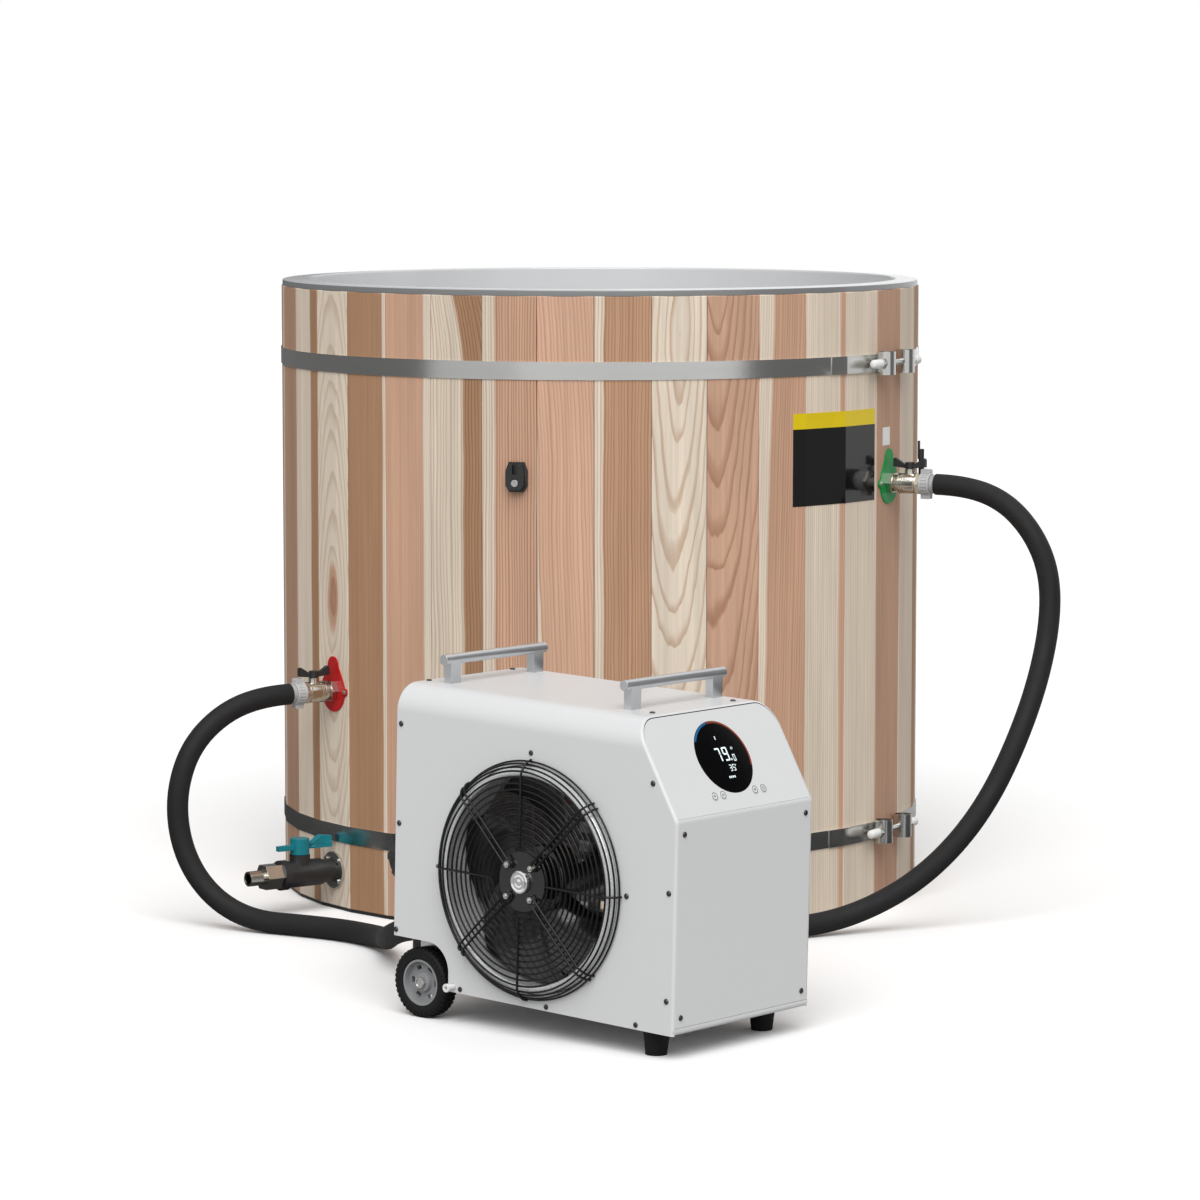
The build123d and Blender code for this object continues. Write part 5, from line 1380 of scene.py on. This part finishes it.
def make_rotor():
    middle = -0.016 - 0.024
    hub = lathe(
        "rotor_hub",
        [
            (0.0072, -0.064),
            (0.040, -0.064),
            (0.0455, -0.061),
            (0.047, -0.056),
            (0.047, -0.022),
            (0.0455, -0.018),
            (0.041, -0.016),
            (0.0072, -0.016),
        ],
        GLOSS_BLACK,
        FAN_M,
        72,
        closed=True,
    )
    blades = []
    rows, cols = 14, 12
    for number in range(5):
        verts, faces = [], []
        for side in (0, 1):
            for i in range(rows + 1):
                t = i / rows
                r = 0.0462 + (0.1495 - 0.0462) * t
                sweep = math.radians(8 + 30 * t * t)
                width = math.radians(44 + 12 * math.sin(math.pi * t * 0.8))
                pitch = 0.021 - 0.003 * t
                for j in range(cols + 1):
                    s = j / cols - 0.5
                    a = number * TAU / 5 + sweep + s * width
                    z = middle - 2 * s * pitch + 0.004 * (1 - 4 * s * s)
                    z += (0.0009 if side else -0.0009) * (1 - (2 * s) ** 6 * 0.8)
                    verts.append((r * math.cos(a), r * math.sin(a), z))
        step = (rows + 1) * (cols + 1)
        for i in range(rows):
            for j in range(cols):
                a, b = i * (cols + 1) + j, (i + 1) * (cols + 1) + j
                faces.append([a, a + 1, b + 1, b])
                faces.append([step + b, step + b + 1, step + a + 1, step + a])
        edge = [j for j in range(cols + 1)]
        edge += [i * (cols + 1) + cols for i in range(1, rows + 1)]
        edge += [rows * (cols + 1) + j for j in range(cols - 1, -1, -1)]
        edge += [i * (cols + 1) for i in range(rows - 1, 0, -1)]
        for k, v in enumerate(edge):
            w = edge[(k + 1) % len(edge)]
            faces.append([w, v, step + v, step + w])
        blades.append(mesh_object(f"blade_{number}", verts, faces, GLOSS_BLACK, FAN_M, 50))
    obj = joined("rotor", [hub] + blades)
    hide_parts("fan_rotor")
    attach(obj, "fan")


make_rotor()


# Floor, light and backdrop


def make_stage():
    s = Shader("stage_floor")
    path = s.node("LightPath")
    seen = s.math("MAXIMUM", path.outputs["Is Camera Ray"], path.outputs["Is Transmission Ray"])
    s.set(color=s.mix(seen, (0.45, 0.45, 0.45), (1.0, 1.0, 1.0)), rough=1.0, spec=0.0)
    floor = mesh_object("studio_floor", [(-14, -14, 0), (14, -14, 0), (14, 14, 0), (-14, 14, 0)], [[0, 1, 2, 3]], s.mat)
    world = bpy.data.worlds.new("studio")
    scene.world = world
    world.use_nodes = True
    tree = world.node_tree
    back = tree.nodes["Background"]
    back.inputs[0].default_value = (1, 1, 1, 1)
    back.inputs[1].default_value = SKY
    white = tree.nodes.new("ShaderNodeBackground")
    white.inputs[0].default_value = (1, 1, 1, 1)
    white.inputs[1].default_value = 1.0
    blend = tree.nodes.new("ShaderNodeMixShader")
    seen = tree.nodes.new("ShaderNodeLightPath")
    most = tree.nodes.new("ShaderNodeMath")
    most.operation = "MAXIMUM"
    more = tree.nodes.new("ShaderNodeMath")
    more.operation = "MAXIMUM"
    link = tree.links.new
    link(seen.outputs["Is Camera Ray"], most.inputs[0])
    link(seen.outputs["Is Glossy Ray"], most.inputs[1])
    link(most.outputs[0], more.inputs[0])
    link(seen.outputs["Is Transmission Ray"], more.inputs[1])
    link(more.outputs[0], blend.inputs[0])
    link(back.outputs[0], blend.inputs[1])
    link(white.outputs[0], blend.inputs[2])
    link(blend.outputs[0], tree.nodes["World Output"].inputs[0])


def studio_card(name, start, end, shade, edges):
    """A grey card of the studio, swept round the tub, that only shows as a reflection."""
    s = Shader(name)
    s.set(color=(0.0, 0.0, 0.0), rough=1.0, spec=0.0, emit=(1.0, 1.0, 1.0), emit_power=shade)
    steps = 12
    verts = []
    for k in range(steps + 1):
        a = math.radians(start + (end - start) * k / steps)
        verts += [(r * math.cos(a), r * math.sin(a), z) for r, z in edges]
    faces = [[2 * k, 2 * k + 2, 2 * k + 3, 2 * k + 1] for k in range(steps)]
    card = mesh_object(name, verts, faces, s.mat)
    card.visible_camera = False
    card.visible_diffuse = False
    card.visible_shadow = False
    card.visible_transmission = False


def sun(azimuth, elevation, spread, strength):
    light = bpy.data.lights.new("key", "SUN")
    light.angle = math.radians(spread)
    light.energy = strength
    obj = bpy.data.objects.new("key", light)
    scene.collection.objects.link(obj)
    a, e = math.radians(azimuth), math.radians(elevation)
    toward = Vector((math.cos(e) * math.cos(a), math.cos(e) * math.sin(a), math.sin(e)))
    obj.rotation_euler = toward.to_track_quat("Z", "Y").to_euler()


SKY = 0.5
make_stage()
studio_card("left_card", 129, 259, 0.17, [(1.5, 0.01), (1.5, 3.0)])
studio_card("middle_card", 259, 287, 0.6, [(1.5, 0.45), (1.5, 3.0)])
studio_card("right_card", -3, 38, 0.16, [(2.2, 0.01), (2.2, 3.0)])
studio_card("left_floor_card", 129, 262, 0.05, [(0.56, 0.004), (1.5, 0.004)])
studio_card("right_floor_card", -3, 48, 0.06, [(0.56, 0.004), (2.2, 0.004)])
sun(-50, 50, 50, 2.4)
